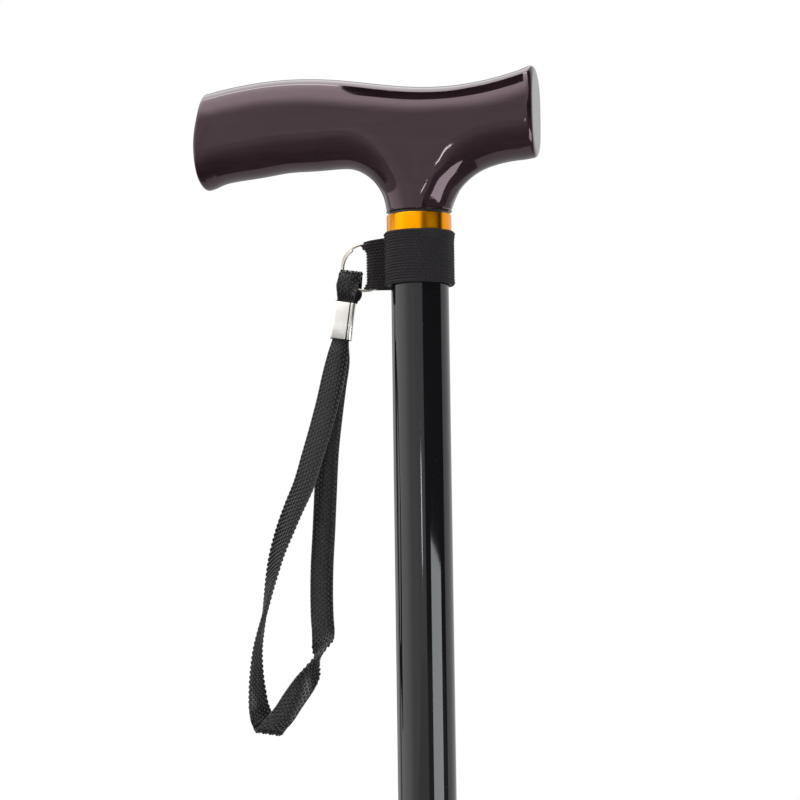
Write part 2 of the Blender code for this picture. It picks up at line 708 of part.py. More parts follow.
def add_wire(name, points, radius, surface, parent):
    # A round wire round the Y axis: each section is square to the wire's run
    line = [Vector(p) for p in points]
    bm = bmesh.new()
    rings = []
    for i, here in enumerate(line):
        along = line[min(i + 1, len(line) - 1)] - line[max(i - 1, 0)]
        outward = Vector((here.x, 0, here.z)).normalized()
        outward = (outward - along * (outward.dot(along) / along.length_squared)).normalized()
        side = along.cross(outward).normalized()
        rings.append([bm.verts.new(here + (outward * a + side * b) * radius)
                      for a, b in arc((0, 0), 1, 0, 315, 7)])
    skin(bm, rings)
    add_object(name, bm, surface, parent)


# Wrist strap. Each knot is a place (across, back, up) from the ring's centre in the ring's plane, a width,
# the direction in which the width runs, and 1 where that direction isn't made square to the strap's run.

def strap_line(along):
    # The straight line down from the crimp's mouth
    return (CRIMP_MOUTH_X - math.sin(STRAP_TILT) * along, CRIMP_MOUTH_Z - math.cos(STRAP_TILT) * along)


def wire_crossing():
    # Where the strap's line through its eye meets the ring's wire
    eye = Vector((STRAP_EYE_X, STRAP_EYE_Z))
    down = Vector((-math.sin(STRAP_TILT), -math.cos(STRAP_TILT)))
    drop = eye.dot(down)
    return eye + down * (math.sqrt(drop ** 2 - eye.length_squared + RING_RADIUS ** 2) - drop)


def knot(x, y, z, width, across, slanted=0.0):
    return (x, y, z, width, *across, slanted)


def eye_knots(flat, layer):
    # Out of the crimp in front, over the ring's wire and back into the crimp behind
    half_eye = (STRAP_EYE_GAP + STRAP_THICKNESS) / 2
    mouth = Vector((CRIMP_MOUTH_X, CRIMP_MOUTH_Z))
    top = Vector((STRAP_EYE_X, STRAP_EYE_Z))
    middle = (STRAP_CRIMPED_WIDTH + STRAP_EYE_WIDTH) / 2
    knots = []
    for share in (0.47, 0.2, 0.0):
        x, z = strap_line(CRIMP_LENGTH * share)
        knots.append(knot(x, -layer, z, STRAP_CRIMPED_WIDTH, flat, 1.0))
    out_x, out_z = strap_line(-0.05 * CRIMP_LENGTH)
    opening = layer + STRAP_LAYER_GAP * 0.7
    knots.append(knot(out_x, -opening, out_z, STRAP_CRIMPED_WIDTH, flat, 1.0))
    low = mouth.lerp(top, 0.38)
    high = mouth.lerp(top, 0.64)
    knots.append(knot(low.x, -half_eye * 0.86, low.y, middle, flat, 1.0))
    knots.append(knot(high.x, -half_eye, high.y, STRAP_EYE_WIDTH, flat, 1.0))
    for angle in range(0, 181, 30):
        # Over its top the strap is drawn together beside the wire, which leaves there
        beside = angle in (0, 180)
        shift = 0.0 if beside else STRAP_EYE_TOP_SHIFT
        rise = half_eye * math.sin(math.radians(angle))
        knots.append(knot(top.x + rise * math.sin(STRAP_TILT) + shift * flat[0],
                          -half_eye * math.cos(math.radians(angle)),
                          top.y + rise * math.cos(STRAP_TILT) + shift * flat[2],
                          STRAP_EYE_WIDTH if beside else STRAP_EYE_TOP_WIDTH, flat, 1.0))
    knots.append(knot(high.x, half_eye, high.y, STRAP_EYE_WIDTH, flat, 1.0))
    knots.append(knot(low.x, half_eye * 0.86, low.y, middle, flat, 1.0))
    knots.append(knot(out_x, opening, out_z, STRAP_CRIMPED_WIDTH, flat, 1.0))
    for share in (0.0, 0.35, 0.7, 1.0):
        x, z = strap_line(CRIMP_LENGTH * share)
        knots.append(knot(x, layer, z, STRAP_CRIMPED_WIDTH, flat, 1.0))
    return knots


def back_leg_knots(full):
    # Straight down behind the front leg, then a half twist and off towards the foot of the loop
    return [
        knot(-0.0106, 0.0015, -0.0360, full * 0.93, (0.98, -0.05, -0.16)),
        knot(-0.0123, 0.0022, -0.0455, full, (0.99, -0.05, -0.13)),
        knot(-0.0139, 0.0034, -0.0569, full, (0.99, -0.05, -0.12)),
        knot(-0.0155, 0.0045, -0.0702, full, (1.0, -0.05, -0.09)),
        knot(-0.0164, 0.0052, -0.0843, full, (1.0, -0.05, -0.07)),
        knot(-0.0173, 0.0055, -0.1006, full, (1.0, -0.05, -0.06)),
        knot(-0.0182, 0.0050, -0.1158, full, (1.0, -0.05, -0.03)),
        knot(-0.0184, 0.0038, -0.1273, full, (1.0, -0.10, 0.0)),
        knot(-0.0182, 0.0026, -0.1352, full, (1.0, -0.10, 0.0)),
        knot(-0.0179, 0.0018, -0.1400, full, (0.99, -0.12, 0.06)),
        knot(-0.0181, 0.0012, -0.1436, full, (0.88, -0.42, 0.22), 1.0),
        knot(-0.0190, 0.0006, -0.1471, full, (0.50, -0.79, 0.35), 1.0),
        knot(-0.0203, 0.0000, -0.1510, full, (-0.02, -0.92, 0.39), 1.0),
        knot(-0.0223, -0.0004, -0.1553, full, (-0.555, -0.71, 0.43), 1.0),
        knot(-0.0255, -0.0008, -0.1600, full, (-0.82, -0.28, 0.50)),
        knot(-0.0296, -0.0012, -0.1657, full, (-0.80, -0.05, 0.60)),
        knot(-0.0333, -0.0016, -0.1712, full, (-0.783, 0.0, 0.622)),
    ]


def fold_knots(full):
    # The flat fold at the foot of the loop turns the strap back behind itself about a slanting crease,
    # along which the strap's width runs there
    foot = Vector((-0.0380, -0.0016 + STRAP_FOLD_RADIUS, -0.1767))
    crease = Vector((-0.989, 0.0, 0.149)).normalized()
    coming = Vector((-0.622, 0.0, -0.783)).normalized()
    front = Vector((0, -1, 0))
    down = front.cross(crease)
    slant = coming.dot(crease) / coming.dot(down)
    knots = []
    for lead in (0.0027, 0.0010):
        place = foot + front * STRAP_FOLD_RADIUS - coming * lead
        knots.append(knot(*place, full, crease, 1.0))
    for angle in range(0, 181, 45):
        turn = math.radians(angle)
        place = foot + crease * (slant * STRAP_FOLD_RADIUS * turn)
        place += (down * math.sin(turn) + front * math.cos(turn)) * STRAP_FOLD_RADIUS
        knots.append(knot(*place, full, crease, 1.0))
    going = coming - down * (2 * coming.dot(down))
    for lead in (0.0010, 0.0027):
        knots.append(knot(*(place + going * lead), full, crease, 1.0))
    return knots


def front_leg_knots(full):
    # Up the other side, turning edge on and then flat to the front
    return [
        knot(-0.0424, 0.0018, -0.1694, full, (-0.78, -0.50, -0.28)),
        knot(-0.0433, 0.0026, -0.1619, full, (-0.61, -0.78, -0.08)),
        knot(-0.0435, 0.0027, -0.1542, full, (-0.40, -0.91, 0.0)),
        knot(-0.0430, 0.0020, -0.1460, full, (-0.21, -0.97, 0.04)),
        knot(-0.0416, 0.0010, -0.1387, full, (-0.05, -1.0, 0.06)),
        knot(-0.0402, 0.0002, -0.1327, full, (0.08, -0.99, 0.08)),
        knot(-0.0389, -0.0010, -0.1262, full, (0.24, -0.96, 0.12)),
        knot(-0.0371, -0.0022, -0.1177, full, (0.46, -0.87, 0.16)),
        knot(-0.0350, -0.0034, -0.1097, full, (0.62, -0.77, 0.20)),
        knot(-0.0318, -0.0048, -0.1009, full, (0.77, -0.59, 0.24)),
        knot(-0.0283, -0.0058, -0.0925, full, (0.84, -0.46, 0.30)),
        knot(-0.0245, -0.0066, -0.0841, full, (0.88, -0.34, 0.33)),
        knot(-0.0211, -0.0064, -0.0732, full, (0.91, -0.25, 0.31)),
        knot(-0.0181, -0.0056, -0.0633, full, (0.94, -0.18, 0.28)),
        knot(-0.0153, -0.0045, -0.0531, full, (0.96, -0.12, 0.24)),
        knot(-0.0126, -0.0031, -0.0417, full, (0.97, -0.06, 0.18)),
        knot(-0.0109, -0.0019, -0.0337, full * 0.9, (0.98, 0.0, 0.0)),
    ]


def build_strap(webbing, nickel, ring_axis, strap_axis):
    shift = Vector(ring_axis.location) - Vector(strap_axis.location)
    flat = (math.cos(STRAP_TILT), 0.0, -math.sin(STRAP_TILT))
    layer = (STRAP_LAYER_GAP + STRAP_THICKNESS) / 2
    knots = eye_knots(flat, layer) + back_leg_knots(STRAP_WIDTH)
    knots += fold_knots(STRAP_WIDTH) + front_leg_knots(STRAP_WIDTH)
    for share in (1.0, 0.75, 0.53):
        x, z = strap_line(CRIMP_LENGTH * share)
        knots.append(knot(x, -layer, z, STRAP_CRIMPED_WIDTH, flat))
    line = through(knots, 2)
    section = ((-1, -0.5), (-0.93, -1), (0, -1), (0.93, -1), (1, -0.5),
               (1, 0.5), (0.93, 1), (0, 1), (-0.93, 1), (-1, 0.5))
    bm = bmesh.new()
    rings = []
    for i, row in enumerate(line):
        ahead = Vector(line[min(i + 1, len(line) - 1)][:3])
        behind = Vector(line[max(i - 1, 0)][:3])
        along = (ahead - behind).normalized()
        across = Vector(row[4:7]).normalized()
        across = (across - along * (across.dot(along) * (1 - row[7]))).normalized()
        up = along.cross(across)
        wide = row[3] / 2 / up.length
        up.normalize()
        here = Vector(row[:3]) + shift
        rings.append([bm.verts.new(here + across * (wide * a) + up * (STRAP_THICKNESS / 2 * b))
                      for a, b in section])
    skin(bm, rings)
    add_object("wrist_strap", bm, webbing, strap_axis)
    build_crimp(nickel, strap_axis, shift)


def build_crimp(nickel, strap_axis, shift):
    wide = STRAP_CRIMPED_WIDTH / 2 + SEAT_GAP
    deep = STRAP_LAYER_GAP / 2 + STRAP_THICKNESS + SEAT_GAP
    inner = rounded_c(wide, deep, CRIMP_CORNER)
    outer = rounded_c(wide + CRIMP_WALL, deep + CRIMP_WALL, CRIMP_CORNER + CRIMP_WALL)
    across = Vector((math.cos(STRAP_TILT), 0.0, -math.sin(STRAP_TILT)))
    bm = bmesh.new()
    ends = []
    for along in (CRIMP_LENGTH, 0.0):
        x, z = strap_line(along)
        base = Vector((x, 0, z)) + shift
        ends.append([bm.verts.new(base + across * a + Vector((0, b, 0))) for a, b in outer + inner[::-1]])
    skin(bm, ends)
    add_object("strap_crimp", bm, nickel, strap_axis)


def rounded_c(wide, deep, corner):
    # A rounded rectangle open at a narrow seam on its front face
    line = [(CRIMP_SEAM_X + CRIMP_SEAM / 2, -deep)]
    for x, y, start in ((wide, -deep, 270), (wide, deep, 0), (-wide, deep, 90), (-wide, -deep, 180)):
        centre = (x - math.copysign(corner, x), y - math.copysign(corner, y))
        line += arc(centre, corner, start, start + 90, 3)
    line.append((CRIMP_SEAM_X - CRIMP_SEAM / 2, -deep))
    return line


def main():
    clear_scene()
    wood = material("lacquered_wood", (0.045, 0.020, 0.020), 0.22)
    amber = material("amber_anodised", (0.75, 0.28, 0.03), 0.25, 0.9)
    black_tube = material("black_anodised", (0.02, 0.02, 0.022), 0.25, 0.3)
    silver_tube = material("satin_aluminium", (0.55, 0.56, 0.58), 0.35, 0.9)
    steel = material("zinc_steel", (0.60, 0.60, 0.58), 0.35, 1.0)
    nickel = material("nickel", (0.75, 0.72, 0.66), 0.15, 1.0)
    nylon = material("black_nylon", (0.03, 0.03, 0.03), 0.5)
    rubber = material("black_rubber", (0.025, 0.025, 0.025), 0.8)
    elastic = material("black_elastic", (0.022, 0.020, 0.021), 0.85)
    webbing = material("black_webbing", (0.022, 0.020, 0.021), 0.8)

    build_handle(wood)
    build_neck(steel, nylon, amber)
    build_upper_tube(black_tube)

    shaft_axis = add_axis("height_slide", (0, 0, 0))
    build_lower_tube(silver_tube, nylon, shaft_axis)
    build_ferrule(rubber, steel, shaft_axis)
    button_axis = add_axis("button_slide", (0, 0, button_height))
    build_button(steel, button_axis, shaft_axis)
    lock_axis = add_axis("lock_turn", (0, 0, 0))
    build_collet(nylon, lock_axis)

    band_axis = add_axis("band_turn", (0, 0, 0), BAND_YAW)
    build_band(elastic, band_axis)
    ring_axis = add_axis("ring_spin", (ring_x, ring_plane, ring_z))
    ring_axis.parent = band_axis
    coils = ring_points()
    add_wire("split_ring", coils, RING_WIRE / 2, nickel, ring_axis)
    print_least_gap("split_ring", coils, RING_WIRE / 2)
    pivot = wire_crossing()
    strap_axis = add_axis("strap_swing", (ring_x + pivot.x, ring_plane, ring_z + pivot.y))
    strap_axis.parent = band_axis
    build_strap(webbing, nickel, ring_axis, strap_axis)


main()
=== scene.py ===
# Looks of the walking cane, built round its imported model. Metres, +Z up the shaft.
import json
import math

import bmesh
import bpy
import numpy as np
from mathutils import Matrix, Vector


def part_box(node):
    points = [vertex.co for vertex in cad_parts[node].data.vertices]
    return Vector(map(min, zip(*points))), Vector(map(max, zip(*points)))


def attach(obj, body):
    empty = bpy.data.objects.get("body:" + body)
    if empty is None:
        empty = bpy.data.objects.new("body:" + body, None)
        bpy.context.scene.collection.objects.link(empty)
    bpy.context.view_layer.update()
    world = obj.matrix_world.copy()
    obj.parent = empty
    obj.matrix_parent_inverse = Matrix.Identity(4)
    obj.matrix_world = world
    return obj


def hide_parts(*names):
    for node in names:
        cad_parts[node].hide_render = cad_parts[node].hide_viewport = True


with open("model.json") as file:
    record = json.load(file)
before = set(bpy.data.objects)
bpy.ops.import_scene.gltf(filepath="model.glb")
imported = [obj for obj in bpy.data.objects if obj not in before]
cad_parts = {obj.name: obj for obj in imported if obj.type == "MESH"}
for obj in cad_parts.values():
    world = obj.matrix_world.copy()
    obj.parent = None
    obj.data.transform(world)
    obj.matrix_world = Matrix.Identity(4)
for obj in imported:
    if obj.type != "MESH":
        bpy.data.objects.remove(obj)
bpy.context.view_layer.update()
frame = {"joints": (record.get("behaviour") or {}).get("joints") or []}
joints = {joint["name"]: joint for joint in frame["joints"]}
print("frame loaded")


class Value:
    # One output of a node, on which sums can be written
    def __init__(self, graph, socket):
        self.graph = graph
        self.socket = socket

    def maths(self, operation, other, swapped=False):
        first, second = (other, self) if swapped else (self, other)
        return self.graph.node("ShaderNodeMath", {"operation": operation}, {0: first, 1: second})

    def __add__(self, other):
        return self.maths("ADD", other)

    def __sub__(self, other):
        return self.maths("SUBTRACT", other)

    def __mul__(self, other):
        return self.maths("MULTIPLY", other)

    def __rsub__(self, other):
        return self.maths("SUBTRACT", other, True)

    __radd__ = __add__
    __rmul__ = __mul__


class Graph:
    # A node tree that is filled one node at a time
    def __init__(self, tree):
        self.tree = tree

    def node(self, kind, settings=None, values=None, output=0):
        made = self.tree.nodes.new(kind)
        for name, setting in (settings or {}).items():
            if name == "stops":
                self.setStops(made.color_ramp, setting)
            else:
                setattr(made, name, setting)
        for name, value in (values or {}).items():
            self.feed(made.inputs[name], value)
        return Value(self, made.outputs[output])

    def feed(self, socket, value):
        if isinstance(value, Value):
            self.tree.links.new(value.socket, socket)
        else:
            socket.default_value = value

    def within(self, value, start, end, soft):
        # 1 between two values and 0 outside, with soft edges
        rise, fall = [self.node("ShaderNodeMapRange", {"interpolation_type": "SMOOTHSTEP"}, {
            "Value": value, "From Min": edge - soft, "From Max": edge + soft}) for edge in (start, end)]
        return rise - fall

    def azimuthOf(self, direction):
        # Degrees from -Y towards +X
        x, y = [self.node("ShaderNodeSeparateXYZ", values={"Vector": direction}, output=axis)
                for axis in range(2)]
        return x.maths("ARCTAN2", 0.0 - y) * math.degrees(1)

    def setStops(self, ramp, stops):
        while len(ramp.elements) < len(stops):
            ramp.elements.new(0.5)
        for element, (place, shade) in zip(ramp.elements, stops):
            element.position = place
            element.color = (shade, shade, shade, 1.0)


class Finish(Graph):
    # A material on Object coordinates
    def __init__(self, name, colour, roughness, metallic=0.0):
        self.material = bpy.data.materials.new(name)
        self.material.use_nodes = True
        super().__init__(self.material.node_tree)
        self.shader = self.tree.nodes["Principled BSDF"]
        self.set("Base Color", (*colour, 1.0))
        self.set("Roughness", roughness)
        self.set("Metallic", metallic)

    def set(self, socket, value):
        self.feed(self.shader.inputs[socket], value)

    def coordinates(self, scale=(1, 1, 1)):
        place = self.node("ShaderNodeTexCoord", output="Object")
        return self.node("ShaderNodeMapping", values={"Vector": place, "Scale": scale})

    def noise(self, scale, stretch=(1, 1, 1), detail=2.0, rough=0.5):
        return self.node("ShaderNodeTexNoise", values={
            "Vector": self.coordinates(stretch), "Scale": scale, "Detail": detail, "Roughness": rough})

    def ramp(self, value, stops):
        return self.node("ShaderNodeValToRGB", {"stops": stops}, {"Fac": value})

    def mix(self, share, first, second):
        first, second = [(*c, 1.0) if isinstance(c, tuple) else c for c in (first, second)]
        return self.node("ShaderNodeMix", {"data_type": "RGBA"}, {"Factor": share, 6: first, 7: second}, 2)

    def bump(self, height, distance, strength=1.0):
        self.set("Normal", self.node("ShaderNodeBump", values={
            "Height": height, "Distance": distance, "Strength": strength}))


# Finishes

def scaled(colour, factor):
    return tuple(c * factor for c in colour)


def lacqueredWood():
    look = Finish("lacqueredWood", (0.03, 0.012, 0.013), 0.1)
    streak = look.noise(14, (1, 11, 11), 4, 0.6)
    fine = look.noise(60, (1, 16, 16), 3, 0.6)
    tone = look.ramp(streak * 0.6 + fine * 0.4, [(0.35, 0), (0.66, 1)])
    colour = look.mix(tone, (0.0110, 0.0060, 0.0075), (0.0245, 0.0125, 0.0150))
    pore = look.ramp(look.noise(210, (0.35, 5, 5), 2, 0.5), [(0.66, 0), (0.74, 1)])
    look.set("Base Color", look.mix(pore * 0.6, colour, (0.012, 0.005, 0.005)))
    ripple = look.noise(70, (1, 2, 2), 2, 0.5)
    look.set("Roughness", 0.04 + fine * 0.05)
    look.set("Specular IOR Level", 0.62)
    look.set("Specular Tint", (1.0, 0.75, 0.83, 1.0))
    look.bump(ripple * 0.5 - pore * 0.3, 0.00012, 0.25)
    return look.material


def amberAnodised():
    # Turned rings spread its reflections up and down
    look = Finish("amberAnodised", (0.90, 0.33, 0.002), 0.3, 1.0)
    lines = look.noise(900, (0.02, 0.02, 6), 2, 0.5)
    look.set("Base Color", look.mix(lines, (0.82, 0.28, 0.001), (0.95, 0.37, 0.002)))
    look.set("Roughness", 0.28 + lines * 0.03)
    look.set("Anisotropic", 0.9)
    look.set("Anisotropic Rotation", 0.25)
    look.bump(lines, 0.00001, 0.1)
    return look.material


def blackGloss():
    look = Finish("blackGloss", (0.006, 0.006, 0.007), 0.07)
    cloud = look.noise(35, (1, 1, 0.3), 3, 0.5)
    speck = look.ramp(look.noise(1100, (1, 1, 1), 0, 0.5), [(0.84, 0), (0.87, 1)])
    look.set("Base Color", look.mix(speck, (0.0060, 0.0057, 0.0070), (0.03, 0.03, 0.033)))
    look.set("Roughness", 0.04 + cloud * 0.04)
    look.bump(cloud + speck * 0.2, 0.00005, 0.15)
    return look.material


def brushedMetal(name, colour, roughness, stretch, depth=0.35):
    look = Finish(name, colour, roughness, 1.0)
    lines = look.noise(700, stretch, 3, 0.6)
    look.set("Base Color", look.mix(lines, scaled(colour, 1 - depth * 0.4), colour))
    look.set("Roughness", roughness * (1 - depth / 2) + lines * (roughness * depth))
    look.bump(lines, 0.00001, depth)
    return look.material


def moulded(name, colour, roughness, grain, depth):
    look = Finish(name, colour, roughness)
    pits = look.noise(grain, detail=4, rough=0.6)
    cloud = look.noise(60, detail=2)
    look.set("Base Color", look.mix(cloud, scaled(colour, 0.8), scaled(colour, 1.25)))
    look.set("Roughness", roughness - 0.08 + pits * 0.16)
    look.bump(pits, depth, 0.6)
    return look.material


def yarn(name, colour, roughness, gloss):
    look = Finish(name, colour, roughness)
    fibre = look.noise(2600, detail=3, rough=0.65)
    cloud = look.noise(120, detail=2)
    look.set("Base Color", look.mix(fibre * 0.7 + cloud * 0.3, scaled(colour, 0.7), scaled(colour, 1.6)))
    look.set("Roughness", roughness - 0.1 + fibre * 0.2)
    look.set("Specular IOR Level", gloss)
    look.set("Sheen Weight", 0.04)
    look.bump(fibre, 0.00008, 0.3)
    return look.material


finishes = {
    "lacquered_wood": lacqueredWood(),
    "amber_anodised": amberAnodised(),
    "black_anodised": blackGloss(),
    "satin_aluminium": brushedMetal("satinAluminium", (0.56, 0.57, 0.59), 0.3, (6, 6, 0.05)),
    "zinc_steel": brushedMetal("zincSteel", (0.60, 0.60, 0.57), 0.3, (1, 1, 1)),
    "nickel": brushedMetal("nickel", (0.95, 0.915, 0.86), 0.34, (1, 1, 0.3), 0.06),
    "black_nylon": moulded("blackNylon", (0.020, 0.020, 0.021), 0.42, 1500, 0.00005),
    "black_rubber": moulded("blackRubber", (0.017, 0.017, 0.017), 0.68, 900, 0.00008),
    "black_elastic": yarn("blackElastic", (0.0115, 0.0088, 0.0108), 0.6, 0.35),
    "black_webbing": yarn("blackWebbing", (0.0088, 0.0070, 0.0084), 0.33, 0.47),
}
print("finishes made")


# Helpers for meshes and objects

def link(item):
    bpy.context.scene.collection.objects.link(item)
    return item


def meshObject(name, bm):
    mesh = bpy.data.meshes.new(name)
    bm.to_mesh(mesh)
    bm.free()
    return link(bpy.data.objects.new(name, mesh))


def addPiece(name, bm, slot, body, replaced=(), creaseAngle=35):
    # A finished piece in its slot's finish, which rides on a body and stands for CAD nodes
    bmesh.ops.recalc_face_normals(bm, faces=bm.faces)
    piece = meshObject(name, bm)
    smooth(piece.data, creaseAngle)
    return settle(piece, slot, body, replaced)


def smooth(mesh, creaseAngle):
    mesh.shade_smooth()
    mesh.set_sharp_from_angle(angle=math.radians(creaseAngle))


def settle(piece, slot, body, replaced=()):
    piece.data.materials.clear()
    piece.data.materials.append(finishes[slot])
    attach(piece, body)
    if replaced:
        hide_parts(*replaced)
    return piece


def bake(piece):
    # Turns a piece with modifiers into a plain mesh
    depsgraph = bpy.context.evaluated_depsgraph_get()
    mesh = bpy.data.meshes.new_from_object(piece.evaluated_get(depsgraph))
    piece.modifiers.clear()
    piece.data = mesh
    return piece


def lathe(profile, sides=96, closed=True):
    # Turns (radius, height) points about Z; points on the axis become poles
    bm = bmesh.new()
    rings = []
    for radius, height in profile:
        if radius < 1e-7:
            rings.append([bm.verts.new((0, 0, height))] * sides)
        else:
            rings.append([bm.verts.new((radius * math.cos(2 * math.pi * side / sides),
                                        radius * math.sin(2 * math.pi * side / sides), height))
                          for side in range(sides)])
    pairs = list(zip(rings, rings[1:]))
    if closed:
        pairs.append((rings[-1], rings[0]))
    for low, high in pairs:
        for side in range(sides):
            after = (side + 1) % sides
            corners = list(dict.fromkeys((low[side], low[after], high[after], high[side])))
            if len(corners) > 2:
                bm.faces.new(corners)
    return bm


def softened(profile, radius, closed=True, steps=3):
    # Rounds the corners of a (radius, height) profile
    points = [Vector(p) for p in profile]
    count = len(points)
    made = []
    for i, here in enumerate(points):
        if not closed and i in (0, count - 1):
            made.append(tuple(here))
            continue
        before = points[i - 1] - here
        after = points[(i + 1) % count] - here
        reach = min(radius, before.length * 0.45, after.length * 0.45)
        if before.angle(after) > math.radians(165) or reach < 1e-6:
            made.append(tuple(here))
            continue
        start, end = here + before.normalized() * reach, here + after.normalized() * reach
        for step in range(steps + 1):
            t = step / steps
            made.append(tuple(start * (1 - t) ** 2 + here * 2 * t * (1 - t) + end * t ** 2))
    return made


def skin(bm, rings, capped=True, loop=False):
    # Joins rings of points into a tube
    count = len(rings[0])
    pairs = list(zip(rings, rings[1:]))
    if loop:
        pairs.append((rings[-1], rings[0]))
    for low, high in pairs:
        for i in range(count):
            j = (i + 1) % count
            bm.faces.new((low[i], low[j], high[j], high[i]))
    if capped and not loop:
        bm.faces.new(rings[0])
        bm.faces.new(list(reversed(rings[-1])))


def through(knots, steps):
    # A smooth line through knots, of which the first two or three numbers are the place
    knots = [Vector(k) for k in knots]
    spans = [(Vector(b[:3]) - Vector(a[:3])).length for a, b in zip(knots, knots[1:])]
    runs = [(b - a) / span for a, b, span in zip(knots, knots[1:], spans)]
    slopes = [runs[0]]
    for i in range(1, len(runs)):
        slopes.append((runs[i - 1] * spans[i] + runs[i] * spans[i - 1]) / (spans[i - 1] + spans[i]))
    slopes.append(runs[-1])
    line = []
    for i, span in enumerate(spans):
        a, b = knots[i], knots[i + 1]
        leave, arrive = slopes[i] * span, slopes[i + 1] * span
        for step in range(steps):
            t = step / steps
            line.append(a + leave * t + ((b - a) * 3 - leave * 2 - arrive) * t ** 2
                        + (leave + arrive - (b - a) * 2) * t ** 3)
    line.append(knots[-1])
    return line


# Repeated stitches: a Geometry Nodes tree puts one small float of yarn on each point

def stitchTree():
    tree = bpy.data.node_groups.new("stitches", "GeometryNodeTree")
    face = tree.interface
    face.new_socket("Points", in_out="INPUT", socket_type="NodeSocketGeometry")
    for name in ("Length", "Width", "Height"):
        face.new_socket(name, in_out="INPUT", socket_type="NodeSocketFloat")
    for name in ("Segments", "Rings"):
        face.new_socket(name, in_out="INPUT", socket_type="NodeSocketInt")
    face.new_socket("Material", in_out="INPUT", socket_type="NodeSocketMaterial")
    face.new_socket("Stitches", in_out="OUTPUT", socket_type="NodeSocketGeometry")
    graph = Graph(tree)
    entry = tree.nodes.new("NodeGroupInput")
    inputs = {socket.name: Value(graph, socket) for socket in entry.outputs if socket.name}
    bead = graph.node("GeometryNodeMeshUVSphere", values={
        "Segments": inputs["Segments"], "Rings": inputs["Rings"], "Radius": 0.5})
    along, outward, stretch = [
        graph.node("GeometryNodeInputNamedAttribute", {"data_type": "FLOAT_VECTOR"}, {"Name": name})
        for name in ("along", "outward", "stretch")]
    turn = graph.node("FunctionNodeAxesToRotation", {"primary_axis": "Z", "secondary_axis": "X"},
                      {"Primary Axis": outward, "Secondary Axis": along})
    size = graph.node("ShaderNodeCombineXYZ", values={
        "X": inputs["Length"], "Y": inputs["Width"], "Z": inputs["Height"]})
    size = graph.node("ShaderNodeVectorMath", {"operation": "MULTIPLY"}, {0: size, 1: stretch})
    placed = graph.node("GeometryNodeInstanceOnPoints", values={
        "Points": inputs["Points"], "Instance": bead, "Rotation": turn, "Scale": size})
    real = graph.node("GeometryNodeRealizeInstances", values={"Geometry": placed})
    smoothed = graph.node("GeometryNodeSetShadeSmooth", values={"Geometry": real})
    finished = graph.node("GeometryNodeSetMaterial", values={
        "Geometry": smoothed, "Material": inputs["Material"]})
    out = tree.nodes.new("NodeGroupOutput")
    tree.links.new(finished.socket, out.inputs[0])
    return tree


stitches = stitchTree()


def addStitches(name, points, sizes, slot, body):
    # points: (place, along, outward, stretch) of each float
    mesh = bpy.data.meshes.new(name)
    mesh.from_pydata([tuple(p[0]) for p in points], [], [])
    for key, column in (("along", 1), ("outward", 2), ("stretch", 3)):
        layer = mesh.attributes.new(key, "FLOAT_VECTOR", "POINT")
        layer.data.foreach_set("vector", [x for p in points for x in p[column]])
    piece = link(bpy.data.objects.new(name, mesh))
    modifier = piece.modifiers.new("stitches", "NODES")
    modifier.node_group = stitches
    values = {"Length": sizes["length"], "Width": sizes["width"], "Height": sizes["height"],
              "Segments": 6, "Rings": 4, "Material": finishes[slot]}
    for socket in stitches.interface.items_tree:
        if socket.in_out == "INPUT" and socket.name in values:
            modifier[socket.identifier] = values[socket.name]
    return settle(bake(piece), slot, body)


# Handle: a cage of twelve-point loops, which its smooth surface runs through

handle = {
    "foot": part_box("handle")[0].z,  # heights below are measured from here
    "half": 0.0127,  # half its thickness
    "round": 0.0118,
    "crown": 0.0003,  # how far its flat sides bulge
    "rim": 0.0010,
    "rimRun": 0.0019,
    "endInset": 0.0042,
    "footShare": 0.985,  # the neck's foot against the loop above it
    "footFill": 0.8,
    "top": [(-0.0835, 0.0497), (-0.0755, 0.0514), (-0.0662, 0.0528), (-0.0569, 0.0537), (-0.0476, 0.0539),
            (-0.0384, 0.0535), (-0.0291, 0.0525), (-0.0198, 0.0511), (-0.0106, 0.0497), (-0.0013, 0.0486),
            (0.0049, 0.0482), (0.0111, 0.0482), (0.0173, 0.0486), (0.0235, 0.0493), (0.0297, 0.0503),
            (0.0359, 0.0518), (0.0421, 0.0536), (0.0461, 0.0550)],
    "bow": [(0.0110, -0.0812), (0.0130, -0.0843), (0.0160, -0.0854), (0.0200, -0.0859), (0.0270, -0.0862),
            (0.0330, -0.0861), (0.0370, -0.0853), (0.0410, -0.0842), (0.0460, -0.0836), (0.0500, -0.0833)],
    "front": 0.0461,
    "gripEnd": (-0.0822, 0.0124),
    "gripTop": [-0.0803, -0.0755, -0.0680, -0.0600, -0.0515, -0.0430, -0.0350, -0.0270, -0.0195, -0.0120],
    "gripUnder": [(-0.0798, 0.0134), (-0.0756, 0.0148), (-0.0680, 0.0158), (-0.0600, 0.0167),
                  (-0.0515, 0.0178), (-0.0435, 0.0180), (-0.0360, 0.0182), (-0.0295, 0.0184),
                  (-0.0240, 0.0174), (-0.0186, 0.0139)],
    "neckLeft": [(-0.0150, 0.0094), (-0.0132, 0.0052), (-0.0125, 0.0016), (-0.0124, 0.0005)],
    "neckRight": [(0.0152, 0.0070), (0.0136, 0.0036), (0.0128, 0.0014), (0.0125, 0.0005)],
    "neckShape": [(0.0119, 0.0127, 38, 76), (0.0121, 0.0126, 34, 68), (0.0123, 0.01245, 31, 62),
                  (0.0124, 0.0124, 30, 60)],
    "beakTop": [0.0120, 0.0195, 0.0270, 0.0350, 0.0410],
    "beakUnder": [(0.0173, 0.0099), (0.0216, 0.0137), (0.0280, 0.0167), (0.0355, 0.0183), (0.0410, 0.0188)],
    "beakEnd": 0.0192,
    "neckFace": (-0.0012, 0.0203),
}


